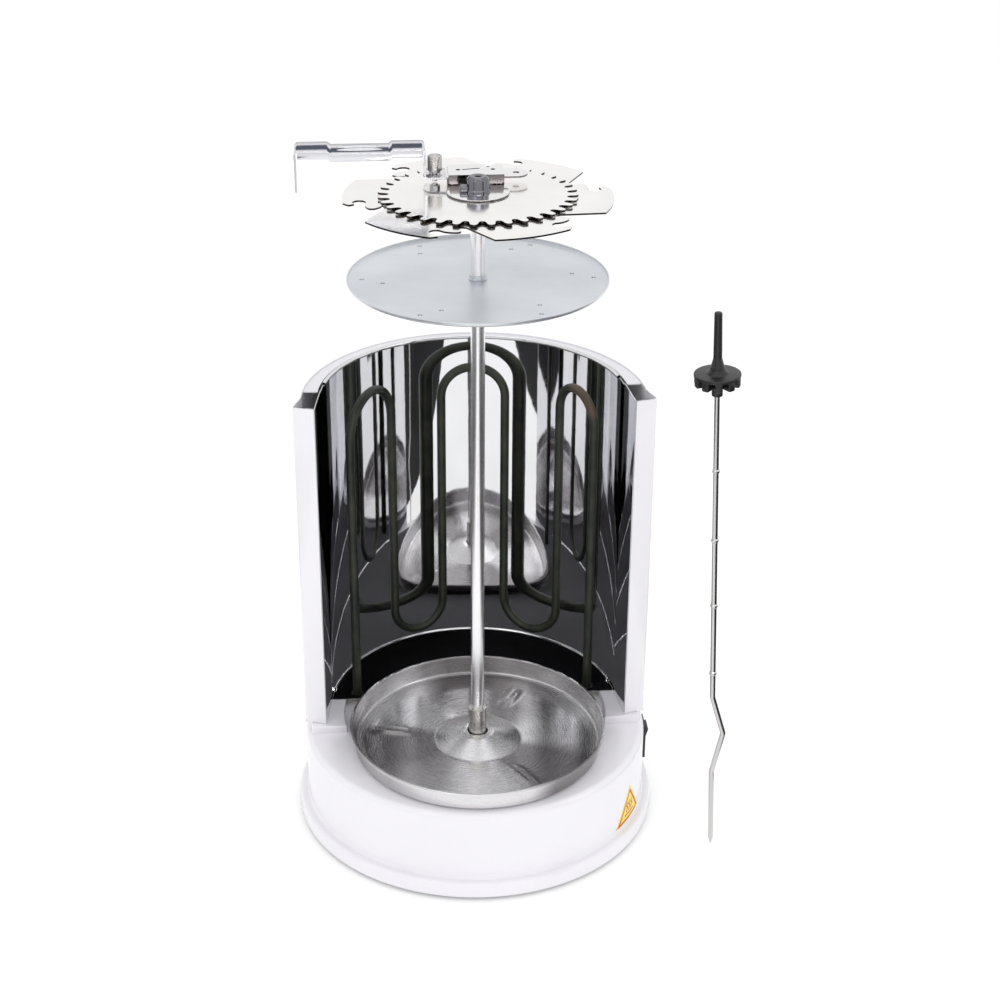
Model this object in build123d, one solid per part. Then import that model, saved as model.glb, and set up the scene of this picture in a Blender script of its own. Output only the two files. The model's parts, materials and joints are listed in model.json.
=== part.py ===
"""Upright rotisserie grill: round base with gear motor, curved heat shield, serpentine heating
element, drip tray, and a carousel on a centre rod, with one skewer laid out beside it.

Millimetres, +Z up.  The origin is on the floor at the centre of the round base, and the open
front of the shield faces -Y.
"""
import os
from math import asin, cos, degrees, pi, radians, sin, sqrt

from build123d import *

os.makedirs("parts", exist_ok=True)

# ---------------------------------------------------------------- driving dimensions
# base
ring_r = 139.5          # lower ring of the housing
ring_top = 15.0
drum_r = 133.0          # upper drum of the housing
base_top = 72.0
base_wall = 1.6
skirt_z = 3.0           # lower edge of the housing above the floor
pad_rise = 6.0          # raised horseshoe that carries the shield
pad_inner_r = 103.0
pad_front_y = -16.0
drum_edge_r = 5.0
foot_r = 9.0
foot_h = 3.4
foot_circle_r = 112.0
foot_count = 4
cover_t = 1.6
cover_boss_r = 5.0
cover_screw_r = 1.6
cover_screw_angles = (45.0, 135.0, 225.0, 315.0)
vent_count = 7          # slots in the cover
vent_pitch = 8.0

# spindle line
spindle_y = -32.0       # the turning axis stands in front of the base centre
socket_r = 6.8
socket_top = 101.5
run_gap = 0.05          # radial clearance of a running fit
free_gap = 0.3          # clearance between pieces that only pass each other
motor_r = 25.0
motor_h = 22.0
motor_drop = 6.0        # motor top under the housing top
motor_shaft_r = 3.5
motor_boss_r = 4.0
motor_screw_r = 1.5
ear_t = 1.5
ear_reach = 6.0         # screw line beyond the motor's side
bush_r = 9.0
bush_flange_r = 10.5
bush_flange_t = 0.8
block_x = -60.0         # terminal block, under the top of the housing
block_y = 60.0
block_w = 30.0
block_d = 16.0
block_h = 14.0
cutout_x = 45.0         # thermal cut-out, beside it
cutout_y = 55.0
cutout_r = 8.0
cutout_h = 6.0

# tray
tray_r = 98.4
tray_h = 16.7
tray_t = 0.8
tray_cone_r = 33.5
tray_cone_h = 8.0
tray_rise = 0.8         # tray floor above the housing
rib_w = 7.0
rib_h = 0.9
tray_ribs = ((168.0, 65.0, 34.0), (62.0, 68.0, 34.0), (300.0, 64.0, 34.0))  # angle, radius, length

# shield
shield_h = 268.0        # from the pad to the upper edge
shell_r = 127.0
shell_y = 5.0           # centre of the outer shell's arc
skin_r = 113.0
skin_y = 13.0           # centre of the reflector's arc
skin_front_y = 22.0     # front edges of the reflector
sheet_t = 1.0
skin_t = 0.6
bead_r = 1.6
flange_out = 133.0      # outer front corner, from the middle plane
flange_in = 117.0       # inner front corner
flange_out_y = -8.0
flange_in_y = -13.0
pad_margin = 2.5        # pad outside the shell
lip_t = 1.4             # dark foot strip under the shield's front corners
shield_screw_angles = (-75.0, -35.0, 35.0, 75.0)
shield_screw_r = 1.5
bracket_d = 5.0
bracket_h = 16.0
bracket_t = 1.2

# heating element
element_r = 94.0        # circle on which the legs stand, about the reflector's centre
element_tube_r = 3.5
element_top = 328.0     # tube centre line at the top bends
element_bottom = 100.5  # tube centre line at the bottom bends
leg_angles = (-79.0, -39.7, -12.4, 18.6, 48.7, 78.5)
element_end_z = 60.0
insulator_r = 5.5
insulator_flange_r = 7.0

# carousel
rod_r = 5.1
rod_tip_r = 1.5
rod_taper_z = 106.0
rod_taper_h = 18.0
petal_z = 508.0         # underside of the petal disc
petal_r = 92.0
petal_t = 1.2
petal_count = 6
toothed_r = 68.0
tooth_depth = 7.5
tooth_count = 36
toothed_t = 1.5
spigot_r = 3.6
spacer_t = 0.5
hub_washer_r = 21.5
hub_washer_t = 1.0
hub_r = 7.7
hub_h = 9.0
hub_foot_h = 1.6
hub_lug = 12.5          # side lug, from the spindle line
plate_r = 90.7
plate_z = 449.0
plate_t = 1.0
plate_rim_h = 3.0
collar_r = 6.2
collar_h = 9.0

# hat bracket and support bracket
hat_w = 38.0
hat_d = 25.0
hat_h = 8.2
hat_t = 1.2
hat_front_y = 14.5      # front wall behind the spindle line
hat_leg_w = 2.6         # front corner legs, beside the hub washer
tab_out = 9.0           # tab's hole beyond the side of the bracket
tab_rise = 4.5
tab_half_d = 9.35
tab_nose = 8.0
rivet_r = 1.55
rivet_x = 12.0
strip_w = 24.0
strip_t = 1.2
strip_rise = 19.5       # beam above the foot
strip_span = 87.0       # from the long leg to the short leg
strip_foot = 15.0
strip_leg = 30.0        # long leg below the beam
leg_shoulder = 7.0      # the leg is this much narrower on each side
rib_r = 1.6             # ridge along the middle of the beam
beam_dip = 1.8
thumb_r = 4.9
thumb_h = 12.0
thumb_shank_r = 2.0

# skewer
skewer_x = 178.2
skewer_y = -78.0
skewer_lean = 2.37      # degrees towards the base
skewer_rod_r = 2.0
crank_low = 66.6
crank_peak = 100.0
crank_high = 132.5
crank_reach = 8.3
crimp_heights = (153.8, 211.2, 265.0, 320.0)
gear_z = 386.0
gear_h = 9.0
gear_r = 16.4
gear_teeth = 10
boss_z = 378.0
handle_top = 439.5
handle_r = 2.8

# switch, sticker and cord inlet
switch_z = 49.0
switch_h = 29.0
switch_w = 21.0
switch_depth = 20.0
bezel_t = 2.0
rocker_side = 3.2       # from the bezel's edge to the slot
rocker_slot_h = 25.8
rocker_pin_r = 1.5
inlet_z = 36.0
inlet_bore = 3.6
inlet_r = 5.8
inlet_flange_r = 9.0
sticker_angle = 60.0    # from the front, towards the switch
sticker_w = 44.0
sticker_h = 31.0
sticker_t = 0.25

# ---------------------------------------------------------------- derived values
pad_top = base_top + pad_rise
shell_z = pad_top + lip_t
shield_top = pad_top + shield_h
shell_arc_out = shell_r + sheet_t / 2
skin_arc_out = skin_r + skin_t / 2
top_underside = base_top - base_wall
pad_underside = pad_top - base_wall
toothed_z = petal_z + petal_t + spacer_t
toothed_top = toothed_z + toothed_t
washer_z = toothed_top + free_gap
hub_z = washer_z + hub_washer_t
hat_top = toothed_top + hat_h
tab_z = toothed_top + tab_rise
foot_z = tab_z + hat_t
tab_x = -(hat_w / 2 + tab_out)
hat_mid_y = spindle_y + hat_front_y + hat_d / 2
cover_z = foot_h
rivet_spots = [(x, hat_mid_y) for x in (-rivet_x, rivet_x)]
# the rod's cone wedges in the socket's mouth where their radii meet
socket_bore_r = rod_r - (rod_taper_z - socket_top) / rod_taper_h * (rod_r - rod_tip_r) + 0.03
motor_ear_x = motor_r + ear_reach
motor_top = top_underside - motor_drop
bracket_ring_r = shell_r - sheet_t / 2
screw_circle_r = bracket_ring_r - 2.8
cover_boss_circle = ring_r - base_wall - 4.0
switch_body_x = drum_r - switch_depth
rocker_pivot_x = drum_r - 3.5
far = 600.0             # beyond every piece, for cuts that go right through


# ---------------------------------------------------------------- helpers
def rod(radius, z0, z1, x=0.0, y=0.0):
    """Round bar along Z."""
    return Pos(x, y, (z0 + z1) / 2) * Cylinder(radius, z1 - z0)


def tube(r_out, r_in, z0, z1, x=0.0, y=0.0):
    """Round tube along Z."""
    return rod(r_out, z0, z1, x, y) - rod(r_in, z0 - 1, z1 + 1, x, y)


def block(x0, x1, y0, y1, z0, z1):
    """Box between two corners."""
    centre = Pos((x0 + x1) / 2, (y0 + y1) / 2, (z0 + z1) / 2)
    return centre * Box(x1 - x0, y1 - y0, z1 - z0)


def turned(points, x=0.0, y=0.0):
    """Solid of revolution about Z from an outline of (radius, height) points."""
    outline = Plane.XZ * make_face(Polyline(*points, close=True))
    return Pos(x, y, 0) * revolve(outline, Axis.Z, 360)


def slab(points, z0, z1):
    """Flat plate from an outline of (x, y) points."""
    return extrude(Pos(0, 0, z0) * make_face(Polyline(*points, close=True)), z1 - z0)


def bent_strip(points, thickness, z0, z1):
    """Upright sheet that follows a plan line, with round bends."""
    body = None
    for (xa, ya), (xb, yb) in zip(points, points[1:]):
        length = sqrt((xb - xa) ** 2 + (yb - ya) ** 2)
        nx, ny = -(yb - ya) / length * thickness / 2, (xb - xa) / length * thickness / 2
        corners = [(xa + nx, ya + ny), (xb + nx, yb + ny), (xb - nx, yb - ny), (xa - nx, ya - ny)]
        wall = slab(corners, z0, z1)
        body = wall if body is None else body + wall
    for xa, ya in points[1:-1]:
        body = body + rod(thickness / 2, z0, z1, xa, ya)
    return body


def polar(radius, angle, x=0.0, y=0.0):
    """Point at an angle in degrees from +X, about (x, y)."""
    return x + radius * cos(radians(angle)), y + radius * sin(radians(angle))


def bearing(radius, angle, y=0.0):
    """Point at an angle in degrees from +Y towards +X, about (0, y)."""
    return radius * sin(radians(angle)), y + radius * cos(radians(angle))


def save(shape, node):
    """Write one node."""
    export_step(shape, "parts/" + node + ".step")


def group(solids):
    """Several separate solids in one node."""
    return Compound(children=list(solids))


# ---------------------------------------------------------------- base
shield_screw_spots = [bearing(screw_circle_r, a, shell_y) for a in shield_screw_angles]
cover_screw_spots = [polar(cover_boss_circle, a) for a in cover_screw_angles]
leg_spots = [bearing(element_r, a, skin_y) for a in leg_angles]


def housing_block(ring, drum, top, pad_out, pad_in, pad_front, pad_height, low):
    """Stepped round block with the horseshoe pad on top; used for outside and inside."""
    body = rod(ring, low, ring_top - (ring_r - ring)) + rod(drum, low, top)
    pad = tube(pad_out, pad_in, top - drum_edge_r - 1, pad_height, 0, shell_y)
    pad = pad & block(-far, far, pad_front, far, 0, pad_height)
    pad = pad & rod(drum, 0, pad_height)
    return body, pad


def base_housing():
    pad_out = shell_r + pad_margin
    body, pad = housing_block(ring_r, drum_r, base_top, pad_out, pad_inner_r, pad_front_y, pad_top,
                              skirt_z)
    rim = body.edges().filter_by(GeomType.CIRCLE).sort_by(Axis.Z)[-1]
    body = fillet(rim, drum_edge_r)
    step = [e for e in body.edges().filter_by(GeomType.CIRCLE) if abs(e.center().Z - ring_top) < 0.01]
    body = fillet([e for e in step if e.radius > drum_r + 1], 2.5)
    pad = fillet(pad.edges().group_by(Axis.Z)[-1], 1.2)
    body = body + pad
    inner, hollow = housing_block(ring_r - base_wall, drum_r - base_wall, top_underside, pad_out - base_wall,
                                  pad_inner_r + base_wall, pad_front_y + base_wall, pad_underside, 0)
    inner = fillet(inner.edges().filter_by(GeomType.CIRCLE).sort_by(Axis.Z)[-1], drum_edge_r - base_wall)
    body = body - inner - hollow
    for x, y in cover_screw_spots:
        boss = rod(cover_boss_r, cover_z + cover_t, ring_top - base_wall + 0.5, x, y)
        body = body + (boss & rod(ring_r - 0.5, 0, ring_top))
        body = body - rod(cover_screw_r + run_gap, 0, ring_top - 2 * base_wall, x, y)
    for x in (-motor_ear_x, motor_ear_x):
        body = body + rod(motor_boss_r, motor_top, top_underside + 0.5, x, spindle_y)
        body = body - rod(motor_screw_r + run_gap, motor_top - 1, top_underside, x, spindle_y)
    body = body - rod(bush_r + run_gap, 0, pad_top, 0, spindle_y)
    for x, y in (leg_spots[0], leg_spots[-1]):
        body = body - rod(insulator_r + 0.1, 60, pad_top + 1, x, y)
    for x, y in shield_screw_spots:
        body = body - rod(shield_screw_r + 0.3, pad_underside - 1, pad_top + 1, x, y)
    opening = block(switch_body_x, ring_r, -switch_w / 2 + 1.5, switch_w / 2 - 1.5,
                    switch_z - switch_h / 2 + 1.5, switch_z + switch_h / 2 - 1.5)
    inlet = Pos(0, drum_r, inlet_z) * Rot(90, 0, 0) * Cylinder(inlet_r + 0.1, 20)
    return body - opening - inlet


def base_cover():
    plate = rod(ring_r - base_wall - 0.5, cover_z, cover_z + cover_t)
    for x, y in cover_screw_spots:
        plate = plate - rod(cover_screw_r + 0.3, 0, 10, x, y)
    for k in range(foot_count):
        x, y = polar(foot_circle_r, 360 / foot_count * k)
        plate = plate - rod(3.0, 0, 10, x, y)
    for k in range(vent_count):
        y = cutout_y + vent_pitch * (k - vent_count / 2)
        plate = plate - (Pos(0, y, cover_z + cover_t / 2) * Box(60, 3, 4))
    return plate


def rubber_feet():
    feet = []
    for k in range(foot_count):
        x, y = polar(foot_circle_r, 360 / foot_count * k)
        pad = rod(foot_r, 0, foot_h, x, y)
        pad = fillet(pad.edges().sort_by(Axis.Z)[0], 1.0)
        feet.append(pad + rod(2.9, foot_h, foot_h + cover_t + 1.5, x, y))
    return group(feet)


def cover_screws():
    return group(
        rod(3.4, cover_z - 1.8, cover_z, x, y)
        + rod(cover_screw_r, cover_z, ring_top - 2 * base_wall - 1, x, y)
        for x, y in cover_screw_spots
    )


def gear_motor():
    body = rod(motor_r, motor_top - motor_h, motor_top, 0, spindle_y)
    body = fillet(body.edges().filter_by(GeomType.CIRCLE), 1.5)
    ears = block(-motor_ear_x, motor_ear_x, spindle_y - 5, spindle_y + 5, motor_top - ear_t, motor_top)
    for x in (-motor_ear_x, motor_ear_x):
        ears = ears + rod(5.0, motor_top - ear_t, motor_top, x, spindle_y)
    body = body + ears
    for x in (-motor_ear_x, motor_ear_x):
        body = body - rod(motor_screw_r + 0.2, 0, motor_top + 1, x, spindle_y)
    return body - rod(motor_shaft_r + run_gap, motor_top - 12, motor_top + 1, 0, spindle_y)


def motor_screws():
    low = motor_top - ear_t
    return group(
        rod(3.0, low - 2, low, x, spindle_y) + rod(motor_screw_r, low, top_underside - 1, x, spindle_y)
        for x in (-motor_ear_x, motor_ear_x)
    )


def drive_socket():
    """Turning socket: solid shaft in the motor, cup for the rod's tip at the top."""
    shaft = rod(motor_shaft_r, motor_top - 11.5, motor_top + 0.6, 0, spindle_y)
    body = shaft + rod(socket_r, motor_top + 0.5, socket_top, 0, spindle_y)
    return body - rod(socket_bore_r, rod_taper_z - rod_taper_h - 2, socket_top + 1, 0, spindle_y)


def socket_bush():
    bush = rod(bush_r, top_underside - 2, base_top, 0, spindle_y)
    bush = bush + rod(bush_flange_r, base_top, base_top + bush_flange_t, 0, spindle_y)
    return bush - rod(socket_r + run_gap, 0, pad_top, 0, spindle_y)


def terminal_block():
    body = block(block_x - block_w / 2, block_x + block_w / 2, block_y - block_d / 2, block_y + block_d / 2,
                 top_underside - block_h, top_underside)
    for x in (block_x - block_w / 4, block_x + block_w / 4):
        body = body - (Pos(x, block_y, top_underside - block_h) * Cylinder(2.2, 10))
    return body


def thermal_cutout():
    low = top_underside - cutout_h
    body = rod(cutout_r, low, top_underside, cutout_x, cutout_y)
    for x in (cutout_x - cutout_r / 2, cutout_x + cutout_r / 2):
        body = body + block(x - 1.5, x + 1.5, cutout_y - 0.4, cutout_y + 0.4, low - 7, low)
    return body


def switch_frame():
    half_w, half_h = switch_w / 2, switch_h / 2
    bezel = block(drum_r, drum_r + bezel_t, -half_w, half_w, switch_z - half_h, switch_z + half_h)
    bezel = fillet(bezel.edges().filter_by(Axis.X), 1.5)
    body = block(switch_body_x, drum_r, -half_w + 1.8, half_w - 1.8, switch_z - half_h + 1.8,
                 switch_z + half_h - 1.8)
    body = bezel + body
    body = body - block(switch_body_x + 3, drum_r + 3, -half_w + rocker_side, half_w - rocker_side,
                        switch_z - rocker_slot_h / 2, switch_z + rocker_slot_h / 2)
    hole = Cylinder(rocker_pin_r + run_gap, switch_w - 4.6)
    return body - Pos(rocker_pivot_x, 0, switch_z) * Rot(90, 0, 0) * hole


def switch_rocker():
    """Rocker with its upper half out; it tips inwards at the top."""
    p = rocker_pivot_x
    points = [(-5, -4), (-5, 4), (-1, 9.6), (8, 10.4), (5.2, 0.5), (4.6, -10.4), (-1, -9.6)]
    outline = Plane.XZ * make_face(Polyline(*[(p + x, switch_z + z) for x, z in points], close=True))
    half = switch_w / 2 - rocker_side - free_gap
    body = extrude(outline, half, both=True)
    pin = Pos(p, 0, switch_z) * Rot(90, 0, 0) * Cylinder(rocker_pin_r, switch_w - 5.2)
    return body + pin


def cord_inlet():
    body = Pos(0, drum_r + 1, inlet_z) * Rot(90, 0, 0) * Cylinder(inlet_r, 14)
    flange = Pos(0, drum_r + 1.4, inlet_z) * Rot(90, 0, 0) * Cylinder(inlet_flange_r, 2.6)
    nut = Pos(0, drum_r - base_wall - 2.2, inlet_z) * Rot(90, 0, 0) * Cylinder(inlet_flange_r - 0.5, 3)
    bore = Pos(0, drum_r, inlet_z) * Rot(90, 0, 0) * Cylinder(inlet_bore, 40)
    return body + flange + nut - bore


def heat_sticker():
    """Thin triangular heat sign on the drum."""
    low = ring_top + 2.0
    band = tube(drum_r + sticker_t, drum_r, low, low + sticker_h)
    corners = [(-sticker_w / 2, low), (sticker_w / 2, low), (0, low + sticker_h)]
    outline = Plane.XZ * make_face(Polyline(*corners, close=True))
    wedge = extrude(outline, drum_r + 10)
    return band & (Rot(0, 0, sticker_angle) * wedge)


# ---------------------------------------------------------------- tray
def drip_tray():
    z = base_top + tray_rise
    t, r, top = tray_t, tray_r, base_top + tray_h
    r_floor, r_wall = r - 4.4, r - 1.2
    hole = socket_r + 0.8
    profile = [
        (hole, z + tray_cone_h - 1), (hole, z + tray_cone_h - 1 + t), (hole + 6, z + tray_cone_h + t - 0.4),
        (tray_cone_r, z + t), (r_floor - 1.5, z + t), (r_floor, z + t + 0.9), (r_floor + 0.5, z + 2.6),
        (r_wall - t, top - 1.4), (r_wall - t, top), (r, top), (r, top - 2.2), (r_wall + 0.2, top - 2.2),
        (r_floor + 0.5 + t, z + 2.2), (r_floor + 0.7, z + 0.7), (r_floor - 1, z), (tray_cone_r, z),
        (hole + 6, z + tray_cone_h - 0.4),
    ]
    body = turned(profile, 0, spindle_y)
    for angle, radius, length in tray_ribs:
        x, y = polar(radius, angle, 0, spindle_y)
        rib = extrude(SlotOverall(length, rib_w), rib_h, taper=30)
        body = body + Pos(x, y, z + t) * Rot(0, 0, angle) * rib
    return body


# ---------------------------------------------------------------- shield
def outer_shell():
    arc = tube(shell_arc_out, shell_r - sheet_t / 2, shell_z, shield_top, 0, shell_y)
    shell = arc & block(-far, far, shell_y, far, 0, far)
    for side in (-1, 1):
        plan = [(side * shell_r, shell_y + 0.2), (side * flange_out, flange_out_y),
                (side * flange_in, flange_in_y)]
        shell = shell + bent_strip(plan, sheet_t, shell_z, shield_top)
    rim_r = skin_r + bead_r + free_gap
    rim = rod(shell_arc_out - 0.2, shield_top - 1.6, shield_top - 0.6, 0, shell_y)
    rim = rim - rod(rim_r, 0, far, 0, skin_y)
    return shell + (rim & block(-far, far, skin_front_y, far, 0, far))


def inner_reflector():
    low, high = pad_top + bead_r, shield_top - bead_r
    skin = tube(skin_arc_out, skin_r - skin_t / 2, low, high, 0, skin_y)
    skin = skin & block(-far, far, skin_front_y, far, 0, far)
    roll = Torus(skin_r, bead_r)
    beads = Pos(0, skin_y, high) * roll + Pos(0, skin_y, low) * roll
    return skin + (beads & block(-far, far, skin_front_y + 16, far, 0, far))


def side_channel(side):
    """Upright channel that joins a front flange to the reflector, on its foot strip."""
    t = skin_t
    x_back = sqrt(skin_r ** 2 - (skin_front_y - skin_y) ** 2)
    y_back = skin_front_y - 0.1
    x_front, y_front = flange_in - 0.3, flange_in_y + sheet_t / 2 + t / 2 + 0.15
    slope = (flange_out_y - flange_in_y) / (flange_out - flange_in)
    lip = 6.5
    plan = [(side * x_back, y_back), (side * x_front, y_front),
            (side * (x_front + lip), y_front + slope * lip)]
    wall = bent_strip(plan, t, shell_z - 0.5, shield_top)
    corners = [(flange_in - 0.5, flange_in_y - 0.3), (flange_out + 0.3, flange_out_y),
               (shell_r, shell_y), (shell_r - 1.5, y_back), (x_back - t / 2, y_back)]
    return wall + slab([(side * x, y) for x, y in corners], pad_top, shell_z)


def arc_piece(r_out, r_in, angle, half, z0, z1):
    """Short stretch of a ring about the shell's centre."""
    ring = tube(r_out, r_in, z0, z1, 0, shell_y)
    sides = [bearing(far, a, shell_y) for a in (angle - half, angle + half)]
    return ring & slab([(0, shell_y), *sides], z0, z1)


def shield_brackets():
    pieces = []
    for angle, (x, y) in zip(shield_screw_angles, shield_screw_spots):
        foot = arc_piece(bracket_ring_r, bracket_ring_r - bracket_d, angle, 4, pad_top, pad_top + bracket_t)
        wall = arc_piece(bracket_ring_r, bracket_ring_r - 1.0, angle, 4, pad_top, pad_top + bracket_h)
        pieces.append(foot + wall - rod(shield_screw_r + run_gap, 0, pad_top + bracket_t + 0.1, x, y))
    return group(pieces)


def shield_screws():
    low = pad_underside
    return group(
        rod(2.8, low - 1.8, low, x, y) + rod(shield_screw_r, low, pad_top + 4, x, y)
        for x, y in shield_screw_spots
    )


# ---------------------------------------------------------------- heating element
def half_bend(p, q, z, up):
    """Half ring of tube that joins two upright legs."""
    mid_x, mid_y = (p[0] + q[0]) / 2, (p[1] + q[1]) / 2
    span = sqrt((q[0] - p[0]) ** 2 + (q[1] - p[1]) ** 2)
    heading = degrees(asin((q[1] - p[1]) / span))
    ring = Rot(90, 0, 0) * Torus(span / 2, element_tube_r)
    keep = Pos(0, 0, span if up else -span) * Box(3 * span, 3 * span, 2 * span)
    return Pos(mid_x, mid_y, z) * Rot(0, 0, heading) * (ring & keep)


def heating_element():
    spans = [sqrt((b[0] - a[0]) ** 2 + (b[1] - a[1]) ** 2) / 2 for a, b in zip(leg_spots, leg_spots[1:])]
    joints = [element_top - s if k % 2 == 0 else element_bottom + s for k, s in enumerate(spans)]
    body = None
    for k, (x, y) in enumerate(leg_spots):
        ends = [element_end_z if k == 0 else joints[k - 1],
                element_end_z if k == len(spans) else joints[k]]
        leg = rod(element_tube_r, min(ends), max(ends), x, y)
        body = leg if body is None else body + leg
    for k, z in enumerate(joints):
        body = body + half_bend(leg_spots[k], leg_spots[k + 1], z, k % 2 == 0)
    return body


def heater_insulators():
    pieces = []
    for x, y in (leg_spots[0], leg_spots[-1]):
        piece = rod(insulator_r, top_underside - 5, base_top, x, y)
        piece = piece + rod(insulator_flange_r, base_top, base_top + 2.5, x, y)
        pieces.append(piece - rod(element_tube_r + run_gap, 0, far, x, y))
    return group(pieces)


def heater_terminals():
    pieces = []
    for x, y in (leg_spots[0], leg_spots[-1]):
        pin = rod(1.5, element_end_z - 8, element_end_z, x, y)
        blade = block(x - 3.2, x + 3.2, y - 0.4, y + 0.4, element_end_z - 16, element_end_z - 7)
        pieces.append(pin + blade)
    return group(pieces)


# ---------------------------------------------------------------- carousel
def center_rod():
    tip = rod_taper_z - rod_taper_h
    spigot_top = hub_z + hub_foot_h + hub_h - 3
    profile = [(0, tip), (rod_tip_r, tip), (rod_r, rod_taper_z), (rod_r, petal_z), (spigot_r, petal_z),
               (spigot_r, spigot_top), (0, spigot_top)]
    return turned(profile, 0, spindle_y)


def wing_outline(start):
    """One wing of the petal disc; angles run anticlockwise from its sharp corner."""
    def at(radius, angle):
        return polar(radius, start + angle)

    r = petal_r
    edge = ThreePointArc(at(r, 0), at(r, 17), at(r, 33.5))
    finger = Polyline(at(r, 33.5), at(r - 3.2, 36.4), at(r - 7.2, 35.6))
    bay = ThreePointArc(at(r - 7.2, 35.6), at(r - 10.5, 30.4), at(r - 15, 35.4))
    lobe = Spline(at(r - 15, 35.4), at(r - 13.6, 39.5), at(r - 15.6, 44.6), at(r - 21.4, 44.0),
                  at(r - 25, 38.5))
    close_up = Polyline(at(r - 25, 38.5), at(r - 40, 36), at(r - 40, -14), at(r - 27, -15), at(r, 0))
    return make_face([edge, finger, bay, lobe, close_up])


def petal_disc():
    first = 33.2
    plan = Circle(petal_r - 25)
    for k in range(petal_count):
        plan = plan + wing_outline(first + 360 / petal_count * k)
    disc = extrude(Pos(0, spindle_y, petal_z) * plan, petal_t)
    return disc - rod(spigot_r + 0.02, petal_z - 1, petal_z + 3, 0, spindle_y)


def spacer_washer():
    return tube(9.0, spigot_r + 0.1, petal_z + petal_t, toothed_z, 0, spindle_y)


def toothed_disc():
    """Flat sheet gear with round teeth."""
    mid = toothed_r - tooth_depth / 2
    points = []
    for k in range(tooth_count * 8):
        phase = k % 8 / 8 * 2 * pi
        wave = max(-1.0, min(1.0, 1.25 * cos(phase)))
        angle = 360 / (tooth_count * 8) * k + 4.0
        points.append(polar(mid + tooth_depth / 2 * wave, angle))
    plan = make_face(Spline(*points, periodic=True))
    disc = extrude(Pos(0, spindle_y, toothed_z) * plan, toothed_t)
    disc = disc - rod(spigot_r + run_gap, 0, far, 0, spindle_y)
    for x, y in rivet_spots:
        disc = disc - rod(rivet_r + run_gap, 0, far, x, y)
    return disc


def hat_bracket():
    """Bent sheet bridge on the toothed disc, with a tab on each side."""
    y0, y1 = hat_mid_y - hat_d / 2, hat_mid_y + hat_d / 2
    half = hat_w / 2
    body = block(-half, half, y0, y1, hat_top - hat_t, hat_top)
    body = body + block(-half, half, y0, y0 + hat_t, hub_z + 0.6, hat_top)
    for x in (-half, half - hat_leg_w):
        body = body + block(x, x + hat_leg_w, y0, y0 + hat_t, toothed_top, hat_top)
    body = body + block(-half, half, y1 - hat_t, y1, toothed_top, hat_top)
    for x, y in rivet_spots:
        foot = block(x - 4, x + 4, y - 5, y1, toothed_top, toothed_top + hat_t)
        body = body + foot - rod(rivet_r + run_gap, 0, far, x, y)
    for side in (-1, 1):
        root, end_x = side * (half - hat_t / 2), side * (half + tab_out)
        wall = block(root - hat_t / 2, root + hat_t / 2, y0 + 3, y1 - 3, tab_z, hat_top)
        reach = block(min(root, end_x), max(root, end_x), hat_mid_y - tab_half_d, hat_mid_y + tab_half_d,
                      tab_z, tab_z + hat_t)
        nose = Pos(end_x, hat_mid_y, tab_z) * extrude(Ellipse(tab_nose, tab_half_d), hat_t)
        body = body + wall + reach + nose
        body = body - rod(thumb_shank_r + free_gap, tab_z - 1, tab_z + 3, end_x, hat_mid_y)
    notch = slab([(4, y1 + 1), (9, y1 - 8), (14, y1 + 1)], hat_top - hat_t - 0.1, hat_top + 1)
    slot = Pos(-3, hat_mid_y + 1.5, hat_top - hat_t - 1) * Rot(0, 0, 12) * extrude(SlotOverall(13, 1.6), 4)
    return body - notch - slot


def bracket_rivets():
    return group(
        rod(rivet_r, toothed_z, toothed_top + hat_t, x, y)
        + rod(2.8, toothed_top + hat_t, toothed_top + hat_t + 1, x, y)
        for x, y in rivet_spots
    )


def hub_washer():
    return tube(hub_washer_r, spigot_r + 0.02, washer_z, hub_z, 0, spindle_y)


def hub():
    """Clamping hub with a side lug and a small centring hole."""
    foot = hub_z + hub_foot_h
    top = foot + hub_h
    profile = [(0, hub_z), (hub_r + 1, hub_z), (hub_r + 1, foot), (hub_r, foot + 0.6), (hub_r, top - 2.2),
               (hub_r - 2, top), (0, top)]
    body = turned(profile, 0, spindle_y)
    lug = block(-hub_lug, 0, spindle_y - 4, spindle_y + 4, hub_z, hub_z + 4.4)
    lug = fillet(lug.edges().filter_by(Axis.Z).group_by(Axis.X)[0], 3.0)
    body = body + lug
    body = body - rod(spigot_r + 0.02, hub_z - 1, top - 3, 0, spindle_y)
    body = body - rod(2.2, hub_z, top + 1, 0, spindle_y)
    return body - (Pos(-8, spindle_y, hub_z + 2.3) * Rot(0, 90, 0) * Cylinder(1.25, 9.4))


def hub_set_screw():
    return Pos(-8.6, spindle_y, hub_z + 2.3) * Rot(0, 90, 0) * Cylinder(1.2, 8.0)


def skewer_plate():
    """Lower plate with an upturned rim and pairs of small holes for the skewer tips."""
    z, r, t = plate_z, plate_r, plate_t
    profile = [(rod_r + 1.0, z), (r - 1.5, z), (r, z + 1.2), (r, z + plate_rim_h), (r - t, z + plate_rim_h),
               (r - t, z + 1.6), (r - 1.9, z + t), (rod_r + 1.0, z + t)]
    body = turned(profile, 0, spindle_y)
    for k in range(petal_count):
        for radius, lead in ((80.0, 0.0), (66.0, 7.0)):
            x, y = polar(radius, 60 * k + 178 + lead, 0, spindle_y)
            body = body - rod(1.6, z - 1, z + 3, x, y)
    return body


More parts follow.
